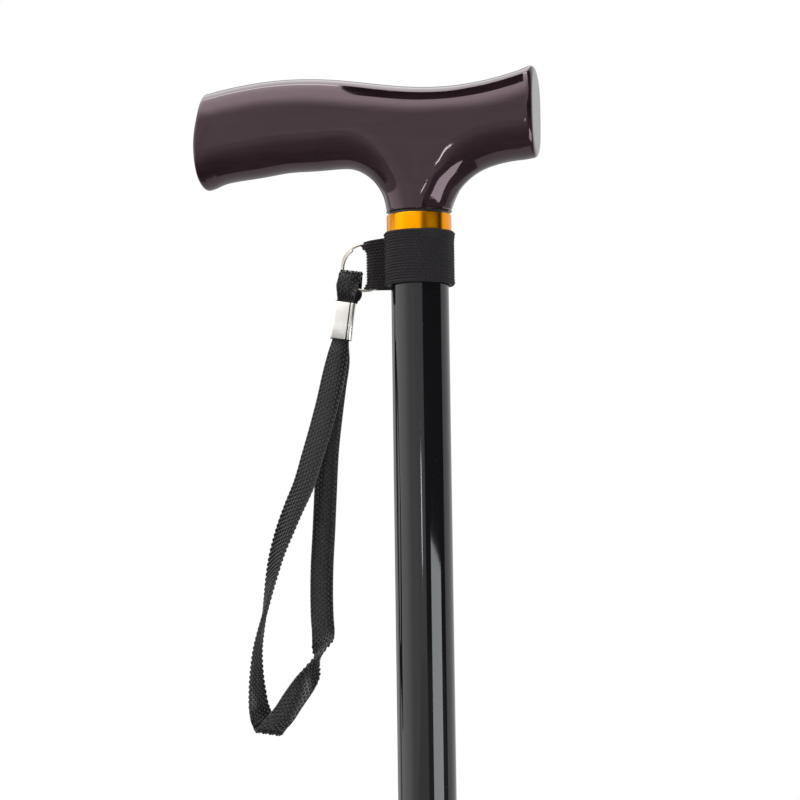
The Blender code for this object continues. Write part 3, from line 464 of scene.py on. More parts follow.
def inwardOf(path, i):
    before, after = Vector(path[max(i - 1, 0)]), Vector(path[min(i + 1, len(path) - 1)])
    along = (after - before).normalized()
    return Vector((-along.y, along.x))


def rounded(place, inward, degrees, size=None):
    # A point on the round-over: 0 degrees is the outline, 90 the flat side, which faces -Y
    curve, half = size or (handle["round"], handle["half"])
    turn = math.radians(degrees)
    flat = Vector(place) + inward * curve * (1 - math.cos(turn))
    return Vector((flat.x, -((half - curve) * min(1, degrees / 20) + curve * math.sin(turn)), flat.y))


def mirrored(front):
    # Seven points from top to bottom become a loop of twelve with their images behind
    return front + [Vector((p.x, -p.y, p.z)) for p in front[-2:0:-1]]


def bodyLoop(top, topIn, under, underIn):
    first = [rounded(top, topIn, turn) for turn in (0, 45, 90)]
    last = [rounded(under, underIn, turn) for turn in (90, 45, 0)]
    middle = (first[-1] + last[0]) / 2
    middle.y -= handle["crown"]
    return mirrored(first + [middle] + last)


def insetLoop(loop, distance, surfaceX):
    centre = sum(loop, Vector()) / len(loop)
    made = []
    for p in loop:
        moved = p + (Vector((0, centre.y, centre.z)) - Vector((0, p.y, p.z))).normalized() * distance
        made.append(Vector((surfaceX(moved.z), moved.y, moved.z)))
    return made


def flattened(place, share):
    # Drawn in towards the axis, at the height of the handle's foot
    return Vector((place.x * share, place.y * share, 0))


def fillLoop(bm, loop, surface):
    # Closes a loop of twelve with quads on both sides of a middle column
    middle = []
    for i in range(1, 6):
        place = (loop[i].co + loop[12 - i].co) / 2
        middle.append(bm.verts.new(surface(place)))
    bm.faces.new((loop[0], loop[1], middle[0], loop[11]))
    for i in range(1, 5):
        bm.faces.new((loop[i], loop[i + 1], middle[i], middle[i - 1]))
        bm.faces.new((loop[12 - i], middle[i - 1], middle[i], loop[11 - i]))
    bm.faces.new((loop[5], loop[6], loop[7], middle[4]))


def joinLoops(bm, first, second):
    for i in range(12):
        j = (i + 1) % 12
        bm.faces.new((first[i], first[j], second[j], second[i]))


def makeHandle():
    topLine = through(handle["top"], 6)
    topX, topZ = [p.x for p in topLine], [p.y for p in topLine]
    bowLine = through(handle["bow"], 6)
    bowZ, bowX = [p.x for p in bowLine], [p.y for p in bowLine]

    def bow(z):
        return float(np.interp(z, bowZ, bowX))

    def top(x, reach=0.001):
        place = (x, float(np.interp(x, topX, topZ)))
        slope = (np.interp(x + reach, topX, topZ) - np.interp(x - reach, topX, topZ)) / (2 * reach)
        return place, Vector((slope, -1)).normalized()

    gripPath = handle["gripUnder"] + handle["neckLeft"]
    beakPath = handle["neckRight"][::-1] + handle["beakUnder"]
    neckCount = len(handle["neckRight"])
    grip = [bodyLoop(*top(x), gripPath[i], inwardOf(gripPath, i))
            for i, x in enumerate(handle["gripTop"])]
    beak = [bodyLoop(*top(x), beakPath[neckCount + i], inwardOf(beakPath, neckCount + i))
            for i, x in enumerate(handle["beakTop"])]
    # Ends: a support loop before the rim and two on the end face
    gripEnd = bodyLoop(*top(handle["gripEnd"][0]), handle["gripEnd"], Vector((0.25, 0.97)).normalized())
    gripEnd = [Vector((bow(p.z) + handle["rim"], p.y, p.z)) for p in gripEnd]
    gripFace = insetLoop(gripEnd, handle["rim"], bow)
    gripInner = insetLoop(gripEnd, handle["endInset"], bow)
    before = handle["front"] - handle["rimRun"]
    beakEnd = [Vector((before, p.y, p.z))
               for p in bodyLoop(*top(before), (before, handle["beakEnd"]), Vector((0, 1)))]
    beakFace = insetLoop(beakEnd, handle["rim"], lambda z: handle["front"])
    beakInner = insetLoop(beakEnd, handle["endInset"], lambda z: handle["front"])

    bm = bmesh.new()

    def place(loop):
        return [bm.verts.new(p) for p in loop]

    gripLoops = [place(loop) for loop in [gripInner, gripFace, gripEnd] + grip]
    beakLoops = [place(loop) for loop in beak + [beakEnd, beakFace, beakInner]]
    for loops in (gripLoops, beakLoops):
        for first, second in zip(loops, loops[1:]):
            joinLoops(bm, first, second)
    fillLoop(bm, gripLoops[0], lambda p: Vector((bow(p.z), p.y, p.z)))
    fillLoop(bm, beakLoops[-1], lambda p: Vector((handle["front"], p.y, p.z)))
    # Over the neck only the upper points run on, and the lower ones open into the neck
    left, right = gripLoops[-1], beakLoops[0]
    crest, crestIn = top(0.0)
    upper = [rounded(crest, crestIn, turn) for turn in (0, 45, 90)]
    faceX, faceZ = handle["neckFace"]
    face = Vector((faceX, -handle["half"], faceZ))
    middle = (upper[-1] + face) / 2
    middle.y -= handle["crown"]
    front = upper + [middle, face]
    over = {i: bm.verts.new(p) for i, p in enumerate(front)}
    over.update({12 - i: bm.verts.new((p.x, -p.y, p.z)) for i, p in enumerate(front) if i})
    order = [8, 9, 10, 11, 0, 1, 2, 3, 4]
    for a, b in zip(order, order[1:]):
        bm.faces.new((left[a], left[b], over[b], over[a]))
        bm.faces.new((over[a], over[b], right[b], right[a]))
    above = [left[6], left[5], left[4], over[4], right[4], right[5], right[6],
             right[7], right[8], over[8], left[8], left[7]]
    for level, (curve, half, first, second) in enumerate(handle["neckShape"]):
        i = len(handle["gripUnder"]) + level
        j = neckCount - 1 - level
        leftIn, rightIn = inwardOf(gripPath, i), inwardOf(beakPath, j)
        if level == len(handle["neckShape"]) - 1:
            leftIn, rightIn = Vector((1, 0)), Vector((-1, 0))
        size = (curve, half)
        leftSide = [rounded(gripPath[i], leftIn, turn, size) for turn in (0, first, second)]
        rightSide = [rounded(beakPath[j], rightIn, turn, size) for turn in (second, first, 0)]
        centre = Vector(((leftSide[2].x + rightSide[0].x) / 2, -half,
                         (leftSide[2].z + rightSide[0].z) / 2 + (leftSide[2].z - leftSide[1].z) * 0.2))
        below = place(mirrored(leftSide + [centre] + rightSide))
        joinLoops(bm, above, below)
        above = below
    foot = place([flattened(p.co, handle["footShare"]) for p in above])
    joinLoops(bm, above, foot)
    inner = place([flattened(p.co, handle["footFill"]) for p in foot])
    joinLoops(bm, foot, inner)
    fillLoop(bm, inner, lambda p: p)
    for v in bm.verts:
        v.co.z += handle["foot"]
    bm.verts.index_update()
    ends = [v.index for loop in gripLoops[:3] + beakLoops[-3:] for v in loop]
    return bm, ends, [v.index for v in foot + inner]


def runThrough(piece, ends, foot, rounds=12):
    # Moves the cage until the smooth surface passes through the places the cage had, but not along
    # the ends' own directions, which rounds their rims
    wanted = np.array([v.co for v in piece.data.vertices])
    held = np.ones((len(wanted), 3))
    held[ends, 0] = 0
    held[foot, 2] = 0
    for _ in range(rounds):
        depsgraph = bpy.context.evaluated_depsgraph_get()
        evaluated = piece.evaluated_get(depsgraph)
        now = np.array([v.co for v in evaluated.data.vertices[:len(wanted)]])
        cage = np.array([v.co for v in piece.data.vertices])
        moved = cage + (wanted - now) * 0.8 * held
        piece.data.vertices.foreach_set("co", moved.astype(np.float32).ravel())
        piece.data.update()
    print(f"handle: surface within {np.abs((wanted - now) * held).max() * 1000:.3f} mm of its points")


def addHandle():
    bm, ends, foot = makeHandle()
    piece = addPiece("handleWood", bm, "lacquered_wood", "upper_shaft", ["handle"], 180)
    subdivision = piece.modifiers.new("smooth", "SUBSURF")
    subdivision.levels = subdivision.render_levels = 3
    subdivision.use_limit_surface = True
    runThrough(piece, ends, foot)
    bake(piece)
    piece.data.shade_smooth()


addHandle()
print("handle made")


# Shaft

shaft = {"outer": 0.0110, "inner": 0.0098, "rim": 0.0003, "sides": 128, "holes": 7, "holePitch": 0.025,
         "holeRadius": 0.0033, "pinRadius": 0.0018}
tubeLow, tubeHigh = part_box("upper_tube")
collarLow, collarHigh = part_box("collar")


def tubeProfile(inner, outer, low, high, rim):
    return softened([(inner, low), (outer, low), (outer, high), (inner, high)], rim)


def middleHeight(node):
    low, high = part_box(node)
    return (low.z + high.z) / 2


def addBore(bm, radius, y, z, depth, segments):
    # A cylinder along Y that is cut out later
    place = Matrix.Translation((0, y, z)) @ Matrix.Rotation(math.radians(90), 4, "X")
    bmesh.ops.create_cone(bm, cap_ends=True, segments=segments, radius1=radius, radius2=radius,
                          depth=depth, matrix=place)


def addUpperTube():
    profile = tubeProfile(shaft["inner"], shaft["outer"], tubeLow.z, tubeHigh.z, shaft["rim"])
    piece = addPiece("shaftTube", lathe(profile, shaft["sides"]), "black_anodised", "upper_shaft",
                     ["upper_tube"])
    bores = bmesh.new()
    middle = middleHeight("snap_button")
    for hole in range(shaft["holes"]):
        height = middle + (hole - shaft["holes"] // 2) * shaft["holePitch"]
        addBore(bores, shaft["holeRadius"], -shaft["outer"], height, depth=0.012, segments=48)
    addBore(bores, shaft["pinRadius"], 0, middleHeight("plug_pin"), depth=0.03, segments=32)
    cutter = meshObject("holes", bores)
    boolean = piece.modifiers.new("holes", "BOOLEAN")
    boolean.operation = "DIFFERENCE"
    boolean.solver = "EXACT"
    boolean.object = cutter
    bake(piece)
    bpy.data.objects.remove(cutter)
    roundNormals(piece.data, shaft["outer"])


def roundNormals(mesh, radius):
    # Gives the tube's outer wall the normals of a true cylinder, also beside its holes
    smooth(mesh, 30)
    normals = [Vector(n.vector) for n in mesh.corner_normals]
    for face in mesh.polygons:
        if abs(face.normal.z) > 0.1:
            continue
        for corner in face.loop_indices:
            co = mesh.vertices[mesh.loops[corner].vertex_index].co
            flat = Vector((co.x, co.y, 0))
            if abs(flat.length - radius) < 2e-5 and face.normal.dot(flat) / flat.length > 0.9:
                normals[corner] = flat.normalized()
    mesh.normals_split_custom_set(normals)


neck = {"bore": 0.0112, "rim": 0.0004, "washerBore": 0.0046, "washerInset": 0.0011, "washerRim": 0.0002}


def addNeck():
    # The collar, and the thin washer between it and the handle
    radius = (collarHigh.x - collarLow.x) / 2
    profile = tubeProfile(neck["bore"], radius, collarLow.z, collarHigh.z, neck["rim"])
    addPiece("collarTube", lathe(profile, 128), "amber_anodised", "upper_shaft", ["collar"])
    profile = tubeProfile(neck["washerBore"], radius - neck["washerInset"], collarHigh.z, handle["foot"],
                          neck["washerRim"])
    addPiece("washerRing", lathe(profile), "black_nylon", "upper_shaft", ["neck_washer"])


slider = {"wall": 0.0012, "rim": 0.0003}
slideLow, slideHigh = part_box("lower_tube")
slideRadius = (slideHigh.x - slideLow.x) / 2


def addLowerTube():
    profile = tubeProfile(slideRadius - slider["wall"], slideRadius, slideLow.z, slideHigh.z,
                          slider["rim"])
    addPiece("slidingTube", lathe(profile), "satin_aluminium", "lower_shaft", ["lower_tube"])


tip = {"base": 0.0190, "wall": 0.0030, "clear": 0.0003, "height": 0.048, "flare": 0.021, "sole": 0.010,
       "foot": 0.0045, "grooves": 3, "groovePitch": 0.0044, "grooveWidth": 0.0016, "grooveDepth": 0.0015,
       "grooveSlope": 0.0002, "ribs": 3, "ribPitch": 0.006, "ribWidth": 0.0036, "ribDepth": 0.0008,
       "ribStart": 0.002, "lip": 0.0006, "rim": 0.0005, "sides": 128}


def addTip():
    bore = slideRadius + tip["clear"]
    outer = bore + tip["wall"]
    profile = [(0, 0)]
    for groove in range(tip["grooves"]):
        start = tip["groovePitch"] * (groove + 1)
        end = start + tip["grooveWidth"]
        profile += [(start, 0), (start + tip["grooveSlope"], tip["grooveDepth"]),
                    (end - tip["grooveSlope"], tip["grooveDepth"]), (end, 0)]
    profile += [(tip["base"] - 0.0008, 0), (tip["base"], 0.0010), (tip["base"], tip["foot"])]
    for step in range(1, 13):
        share = step / 12
        profile.append((outer + (tip["base"] - outer) * (1 - share) ** 2,
                        tip["foot"] + (tip["flare"] - tip["foot"]) * share))
    for rib in range(tip["ribs"]):
        low = tip["flare"] + tip["ribStart"] + rib * tip["ribPitch"]
        high, depth = low + tip["ribWidth"], tip["ribDepth"]
        profile += [(outer, low), (outer + depth, low + depth), (outer + depth, high - depth),
                    (outer, high)]
    top, lip = tip["height"], outer + tip["lip"]
    profile += [(outer, top - 0.0030), (lip, top - 0.0024), (lip, top - 0.0008), (outer - 0.0002, top),
                (bore, top), (bore, tip["sole"]), (0, tip["sole"])]
    profile = softened(profile, tip["rim"], closed=False)
    addPiece("rubberTip", lathe(profile, tip["sides"], closed=False), "black_rubber", "lower_shaft",
             ["ferrule"], 40)


collet = {"bore": 0.0098, "socket": 0.0113, "seatGap": 0.0003, "shoulder": 0.0020, "neck": 0.0007,
          "taper": 0.0014, "rim": 0.0003}
lock = {"wall": 0.0024, "gap": 0.0003, "lip": 0.0016, "chamfer": 0.0010, "edge": 0.0003, "levels": 24,
        "flutes": 14, "fluteDepth": 0.0007, "fluteStart": 0.00245, "fluteFade": 0.0016}


def addCollet():
    low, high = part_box("collet")
    outer = (high.x - low.x) / 2
    bore, socket = collet["bore"], collet["socket"]
    seat = tubeLow.z - collet["seatGap"]
    shoulder = seat - collet["shoulder"]
    profile = [(bore, low.z), (outer - collet["taper"], low.z), (outer - collet["neck"], shoulder),
               (outer, shoulder), (outer, high.z), (socket, high.z), (socket, seat), (bore, seat)]
    addPiece("colletSleeve", lathe(softened(profile, collet["rim"])), "black_nylon", "upper_shaft",
             ["collet"])
    addLockRing(outer + lock["gap"], shoulder)


def addLockRing(inner, shoulder):
    low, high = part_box("lock_ring")
    radius = inner + lock["wall"]
    lip = low.z + lock["lip"]
    rise = high.z - low.z
    chamfer = lock["chamfer"]
    corner = [0, 0.25, 0.6, 1.0]
    outside = [(radius - chamfer * (1 - t), low.z + chamfer * t) for t in corner]
    outside += [(radius, low.z + chamfer + (rise - 2 * chamfer) * level / lock["levels"])
                for level in range(1, lock["levels"])]
    outside += [(radius - chamfer * (1 - t), high.z - chamfer * t) for t in reversed(corner)]
    inside = [(inner + lock["edge"], high.z), (inner, high.z - lock["edge"]), (inner, shoulder),
              (inner - collet["neck"], lip), (collet["bore"], lip), (collet["bore"], low.z)]
    bm = bmesh.new()
    columns = lock["flutes"] * 16
    rings = []
    for i, (r, z) in enumerate(outside + inside):
        ring = []
        for column in range(columns):
            angle = 2 * math.pi * column / columns
            depth = fluteDepth(angle, z - low.z, rise) if i < len(outside) else 0
            ring.append(bm.verts.new(((r - depth) * math.cos(angle), (r - depth) * math.sin(angle), z)))
        rings.append(ring)
    skin(bm, rings, loop=True)
    addPiece("lockRing", bm, "black_nylon", "lock_ring", ["lock_ring"], 50)


def fluteDepth(angle, height, rise):
    pitch = 2 * math.pi / lock["flutes"]
    off = (angle + pitch / 2) % pitch - pitch / 2
    across = min(1.0, abs(off) / (pitch * 0.38))
    end = min(height, rise - height) - lock["fluteStart"]
    fade = min(1.0, max(0.0, end / lock["fluteFade"]))
    return lock["fluteDepth"] * (0.5 + 0.5 * math.cos(math.pi * across)) * fade * fade * (3 - 2 * fade)


button = {"radius": 0.0030, "round": 0.0010, "flange": 0.0044, "flangeThick": 0.0008, "crown": 0.0018,
          "dome": 0.00004}


def addButton():
    low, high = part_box("snap_button")
    front, back = -low.y, -high.y
    radius, curve, ledge = button["radius"], button["round"], back + button["flangeThick"]
    profile = [(0, back), (button["flange"], back), (button["flange"], ledge), (radius, ledge)]
    for step in range(8):
        turn = math.radians(90 * step / 8)
        profile.append((radius - curve + curve * math.cos(turn),
                        front - curve + curve * math.sin(turn)))
    profile += [(button["crown"], front - button["dome"]), (0, front)]
    bm = lathe(profile, 48, closed=False)
    bm.transform(Matrix.Translation((0, 0, middleHeight("snap_button")))
                 @ Matrix.Rotation(math.radians(90), 4, "X"))
    addPiece("snapButton", bm, "zinc_steel", "button", ["snap_button"], 40)


addUpperTube()
addNeck()
addLowerTube()
addTip()
addCollet()
addButton()
print("shaft made")


# Band, tab and ring: everything here is turned with the band

band = {"yaw": math.radians(11), "inner": 0.01247, "core": 0.01285, "lip": 0.0112, "drop": 0.0008,
        "rim": 0.0003, "topSwell": 0.00045, "footSwell": 0.0002, "rows": 18, "around": 70, "lift": 0.00008,
        "float": {"length": 0.00112, "width": 0.00090, "height": 0.00092}, "rowPitch": 0.00112}
ringCentre = Vector(joints["ring_spin"]["pos_m"])
across = Vector((math.cos(band["yaw"]), math.sin(band["yaw"]), 0))
behind = Vector((-math.sin(band["yaw"]), math.cos(band["yaw"]), 0))
upward = Vector((0, 0, 1))


def bandSwell(share):
    # How far the band's edges stand out: 0 is its lower edge and 1 its upper one
    return band["topSwell"] * max(0, (share - 0.80) / 0.20) ** 1.5 \
        + band["footSwell"] * max(0, (0.12 - share) / 0.12) ** 1.5


def aroundBand(column):
    # Outward and sideways at one column of the knit
    angle = 2 * math.pi * column / band["around"]
    return Vector((math.cos(angle), math.sin(angle), 0)), Vector((-math.sin(angle), math.cos(angle), 0))


def addBand():
    low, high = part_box("shaft_band")
    low.z -= band["drop"]
    high.z -= band["drop"]
    base, rise = low.z + band["rim"], high.z - low.z - 2 * band["rim"]
    outside = [(band["core"] + bandSwell(step / 32), base + rise * (step / 32)) for step in range(33)]
    inside = [(band["inner"] + bandSwell(share) * 0.4, base + rise * share)
              for share in (1, 0.9, 0.5, 0.1)]
    under = collarLow.z - 0.0001
    inside += [(band["inner"], under), (band["lip"], under - 0.0001), (band["lip"], base)]
    addPiece("bandCore", lathe(outside + inside, 128), "black_elastic", "band", ["shaft_band"], 60)
    points = []
    pitch = rise / band["rows"]
    tall = pitch / band["rowPitch"]
    for row in range(band["rows"]):
        height = base + pitch * (row + 0.5)
        radius = band["core"] + bandSwell((row + 0.5) / band["rows"]) + band["lift"]
        for column in range(band["around"]):
            out, tangent = aroundBand(column + 0.5 * (row % 2))
            points.append((out * radius + upward * height, tangent, out, (1, tall, 1)))
    # The edges are closed by loops of yarn that lie over them
    for height, share, facing in ((base, 0, -1), (high.z - band["rim"], 1, 1)):
        radius = (band["core"] + bandSwell(share) + band["inner"] + bandSwell(share) * 0.4) / 2
        for column in range(band["around"]):
            out, tangent = aroundBand(column + 0.25)
            points.append((out * radius + upward * height, tangent, upward * facing, (0.95, 0.85, 0.8)))
    addStitches("bandKnit", points, band["float"], "black_elastic", "band")


addBand()
print("band made")


def local(x, y, z):
    # A place measured from the ring's centre in the ring's plane
    return ringCentre + across * x + behind * y + upward * z


tab = {"half": 0.00221, "thick": 0.00070, "nose": -0.0202, "topBulge": 0.0021, "footBulge": 0.0011,
       "clear": 0.0132, "topNose": 0.0100, "topBand": 0.0112, "low": -0.0087, "rim": 0.0002, "rows": 17,
       "pitch": 0.00122, "taper": 0.008, "float": {"length": 0.00126, "width": 0.00088, "height": 0.00080}}
tabPlane = ringCentre.dot(behind)


def tabNose(share):
    # The fold bulges round the wire at its corners
    return tab["nose"] - tab["topBulge"] * math.exp(-((share - 0.90) / 0.085) ** 2) \
        - tab["footBulge"] * math.exp(-((share - 0.03) / 0.07) ** 2)


def tabPath(share, offset):
    # Plan of the folded tab at one share of its height, from its front layer to its back one
    radius = tab["half"] + offset
    centre = tabNose(share) + tab["half"] + tab["thick"] / 2
    path = []
    for side in (-1, 1):
        depth = tabPlane + side * radius
        start = -math.sqrt(max(0.0, tab["clear"] ** 2 - depth ** 2))
        run = [(start + (centre - start) * step / 6, depth) for step in range(6)]
        path += run if side < 0 else [None] + run[::-1]
    cut = path.index(None)
    turns = [math.pi * step / 16 for step in range(17)]
    bend = [(centre - radius * math.sin(turn), tabPlane - radius * math.cos(turn)) for turn in turns]
    return path[:cut] + bend + path[cut + 1:]


def tabPlace(point, share):
    x, y = point
    reach = min(1.0, max(0.0, (x - tab["nose"]) / tab["taper"]))
    top = tab["topNose"] + (tab["topBand"] - tab["topNose"]) * reach
    z = tab["low"] + (top - tab["low"]) * share
    return across * x + behind * y + upward * (ringCentre.z + z)


def addTab():
    bm = bmesh.new()
    rings = []
    for step in range(41):
        share = step / 40
        inset = tab["rim"] if step in (0, 40) else 0
        loop = tabPath(share, tab["thick"] / 2 - inset) + tabPath(share, inset - tab["thick"] / 2)[::-1]
        rings.append([bm.verts.new(tabPlace(point, share)) for point in loop])
    skin(bm, rings)
    addPiece("tabFold", bm, "black_elastic", "band", ["ring_tab"], 60)
    points = []
    for row in range(tab["rows"]):
        share = (row + 0.5) / tab["rows"]
        path = [tabPlace(p, share) for p in tabPath(share, tab["thick"] / 2)]
        runs = lengths(path)
        count = int(runs[-1] / tab["pitch"])
        for column in range(count + 1):
            place, along = onLine(path, runs, (column + 0.5 * (row % 2)) * runs[-1] / (count + 0.5))
            points.append((place, along, along.cross(upward), (1, 1, 1)))
    addStitches("tabKnit", points, tab["float"], "black_elastic", "band")


def lengths(path):
    runs = [0.0]
    for before, after in zip(path, path[1:]):
        runs.append(runs[-1] + (Vector(after[:3]) - Vector(before[:3])).length)
    return runs


def onLine(path, runs, run):
    # The place at one length along a path, and the path's direction there
    i = min(max(int(np.searchsorted(runs, run)) - 1, 0), len(path) - 2)
    share = min(1.0, max(0.0, (run - runs[i]) / max(1e-9, runs[i + 1] - runs[i])))
    return path[i].lerp(path[i + 1], share), (Vector(path[i + 1][:3]) - Vector(path[i][:3])).normalized()


ring = {"radius": 0.0090, "wire": 0.0005, "step": 0.00142, "missing": math.radians(72),
        "jog": math.radians(30), "spread": 0.0008, "steps": 240, "sides": 16}


def addRing():
    total = 4 * math.pi - ring["missing"]
    first = (math.pi + ring["missing"]) / 2
    stepStart = 2 * math.pi - (ring["missing"] + ring["jog"]) / 2
    path = []
    for step in range(ring["steps"] + 1):
        run = total * step / ring["steps"]
        share = min(1.0, max(0.0, (run - stepStart) / ring["jog"]))
        depth = ring["step"] * (share * share * (3 - 2 * share) - 0.5)
        free = max(0.0, 1 - run / math.radians(110))
        radius = ring["radius"] - ring["spread"] * free * free * (3 - 2 * free)
        path.append(local(radius * math.cos(first + run), depth, radius * math.sin(first + run)))
    bm = bmesh.new()
    rings = []
    for i, here in enumerate(path):
        along = (path[min(i + 1, len(path) - 1)] - path[max(i - 1, 0)]).normalized()
        out = here - ringCentre
        out = (out - along * out.dot(along)).normalized()
        side = along.cross(out)
        end = 0.75 if i in (0, len(path) - 1) else 1
        turns = [2 * math.pi * k / ring["sides"] for k in range(ring["sides"])]
        rings.append([bm.verts.new(here + (out * math.cos(turn) + side * math.sin(turn))
                                   * ring["wire"] * end) for turn in turns])
    skin(bm, rings)
    piece = addPiece("ringWire", bm, "nickel", "ring", ["split_ring"], 60)
    # The wire's nickel is a darker, beiger copy of the crimp's: painted shade, which dims its reflections
    piece.data.materials[0] = brushedMetal("shadedNickelWire", (0.56, 0.52, 0.45), 0.22, (1, 1, 1), 0.06)


addTab()
addRing()
print("tab and ring made")


# Wrist strap. Each knot is a place from the ring's centre, a width, the direction of the width,
# and 1 where that direction isn't made square to the strap's run

strap = {"width": 0.0090, "thick": 0.0015, "core": 0.00105, "tilt": math.radians(7.8),
         "eye": (-0.0059, -0.0047), "eyeWidth": 0.0086, "eyeTop": 0.0066, "topShift": 0.0008,
         "eyeGap": 0.0040, "mouth": (-0.0079, -0.0136), "crimped": 0.0066, "layerGap": 0.0003,
         "foldRadius": 0.0011, "edge": 0.0001, "period": 0.00190, "columns": 8,
         "float": {"length": 0.00166, "width": 0.00094, "height": 0.00092}}
crimp = {"length": 0.0144, "wall": 0.0006, "corner": 0.0006, "seam": 0.0005, "seamX": 0.0020,
         "gap": 0.0003, "edge": 0.00018}


def knot(x, y, z, width, direction, slanted=0.0):
    return (x, y, z, width, *direction, slanted)


def strapLine(along):
    # The straight line down from the crimp's mouth
    x, z = strap["mouth"]
    return x - math.sin(strap["tilt"]) * along, z - math.cos(strap["tilt"]) * along


def eyeKnots(flat, layer):
    # Out of the crimp in front, over the ring's wire and back into the crimp behind
    halfEye = (strap["eyeGap"] + strap["thick"]) / 2
    mouth, top = Vector(strap["mouth"]), Vector(strap["eye"])
    middle = (strap["crimped"] + strap["eyeWidth"]) / 2
    knots = []
    for share in (0.47, 0.2, 0.0):
        x, z = strapLine(crimp["length"] * share)
        knots.append(knot(x, -layer, z, strap["crimped"], flat, 1.0))
    out = Vector(strapLine(-0.05 * crimp["length"]))
    opening = layer + strap["layerGap"] * 0.7
    low, high = mouth.lerp(top, 0.38), mouth.lerp(top, 0.64)
    side = Vector((flat[0], flat[2]))

    def layerKnots(face, shifts, widths):
        places = ((out, opening), (low, halfEye * 0.86), (high, halfEye))
        return [knot((p + side * shift).x, face * depth, (p + side * shift).y, width, flat, 1.0)
                for (p, depth), shift, width in zip(places, shifts, widths)]

    knots += layerKnots(-1, (0.0, -0.0003, -0.0005), (strap["crimped"], middle, strap["eyeWidth"]))
    for angle in range(0, 181, 30):
        # At the top of its bend the strap is drawn together beside the wire
        turn = math.radians(angle)
        share = {90: 1.0, 60: 0.3, 120: 0.3}.get(angle, 0.0)
        shift = strap["topShift"] * share - 0.0004 * math.cos(turn)
        width = strap["eyeWidth"] + (strap["eyeTop"] - strap["eyeWidth"]) * share
        place = top + side * shift + Vector((math.sin(strap["tilt"]), math.cos(strap["tilt"]))) * (
            halfEye * math.sin(turn))
        knots.append(knot(place.x, -halfEye * math.cos(turn), place.y, width, flat, 1.0))
    widths = (strap["crimped"], strap["eyeWidth"], strap["eyeWidth"])
    knots += layerKnots(1, (0.0006, 0.0014, 0.0009), widths)[::-1]
    for share in (0.0, 0.35, 0.7, 1.0):
        x, z = strapLine(crimp["length"] * share)
        knots.append(knot(x, layer, z, strap["crimped"], flat, 1.0))
    return knots


def backLegKnots(full):
    # Straight down behind the front leg, then a half twist and off towards the foot of the loop
    return [
        knot(-0.0106, 0.0015, -0.0360, full * 0.93, (0.98, -0.05, -0.16)),
        knot(-0.0123, 0.0022, -0.0455, full, (0.99, -0.05, -0.13)),
        knot(-0.0139, 0.0034, -0.0569, full, (0.99, -0.05, -0.12)),
        knot(-0.0155, 0.0045, -0.0702, full, (1.0, -0.05, -0.09)),
        knot(-0.0164, 0.0052, -0.0843, full, (1.0, -0.05, -0.07)),
        knot(-0.0173, 0.0055, -0.1006, full, (1.0, -0.05, -0.06)),
        knot(-0.0182, 0.0050, -0.1158, full, (1.0, -0.05, -0.03)),
        knot(-0.0184, 0.0038, -0.1273, full, (1.0, -0.10, 0.0)),
        knot(-0.0182, 0.0026, -0.1352, full, (1.0, -0.10, 0.0)),
        knot(-0.0179, 0.0018, -0.1400, full, (0.99, -0.12, 0.06)),
        knot(-0.0181, 0.0012, -0.1436, full, (0.88, -0.42, 0.22), 1.0),
        knot(-0.0190, 0.0006, -0.1471, full, (0.50, -0.79, 0.35), 1.0),
        knot(-0.0203, 0.0000, -0.1510, full, (-0.02, -0.92, 0.39), 1.0),
        knot(-0.0223, -0.0004, -0.1553, full, (-0.555, -0.71, 0.43), 1.0),
        knot(-0.0255, -0.0008, -0.1600, full, (-0.82, -0.28, 0.50)),
        knot(-0.0296, -0.0012, -0.1657, full, (-0.80, -0.05, 0.60)),
        knot(-0.0333, -0.0016, -0.1712, full, (-0.783, 0.0, 0.622)),
    ]


def foldKnots(full):
    # The flat fold at the foot of the loop turns the strap back behind itself about a slanting crease
    radius = strap["foldRadius"]
    foot = Vector((-0.0380, -0.0016 + radius, -0.1767))
    crease = Vector((-0.989, 0.0, 0.149)).normalized()
    coming = Vector((-0.622, 0.0, -0.783)).normalized()
    front = Vector((0, -1, 0))
    down = front.cross(crease)
    slant = coming.dot(crease) / coming.dot(down)
    leads = (0.0010, 0.0027)
    knots = [knot(*(foot + front * radius - coming * lead), full, crease, 1.0) for lead in leads[::-1]]
    for angle in range(0, 181, 45):
        turn = math.radians(angle)
        place = foot + crease * (slant * radius * turn)
        place += (down * math.sin(turn) + front * math.cos(turn)) * radius
        knots.append(knot(*place, full, crease, 1.0))
    going = coming - down * (2 * coming.dot(down))
    return knots + [knot(*(place + going * lead), full, crease, 1.0) for lead in leads]


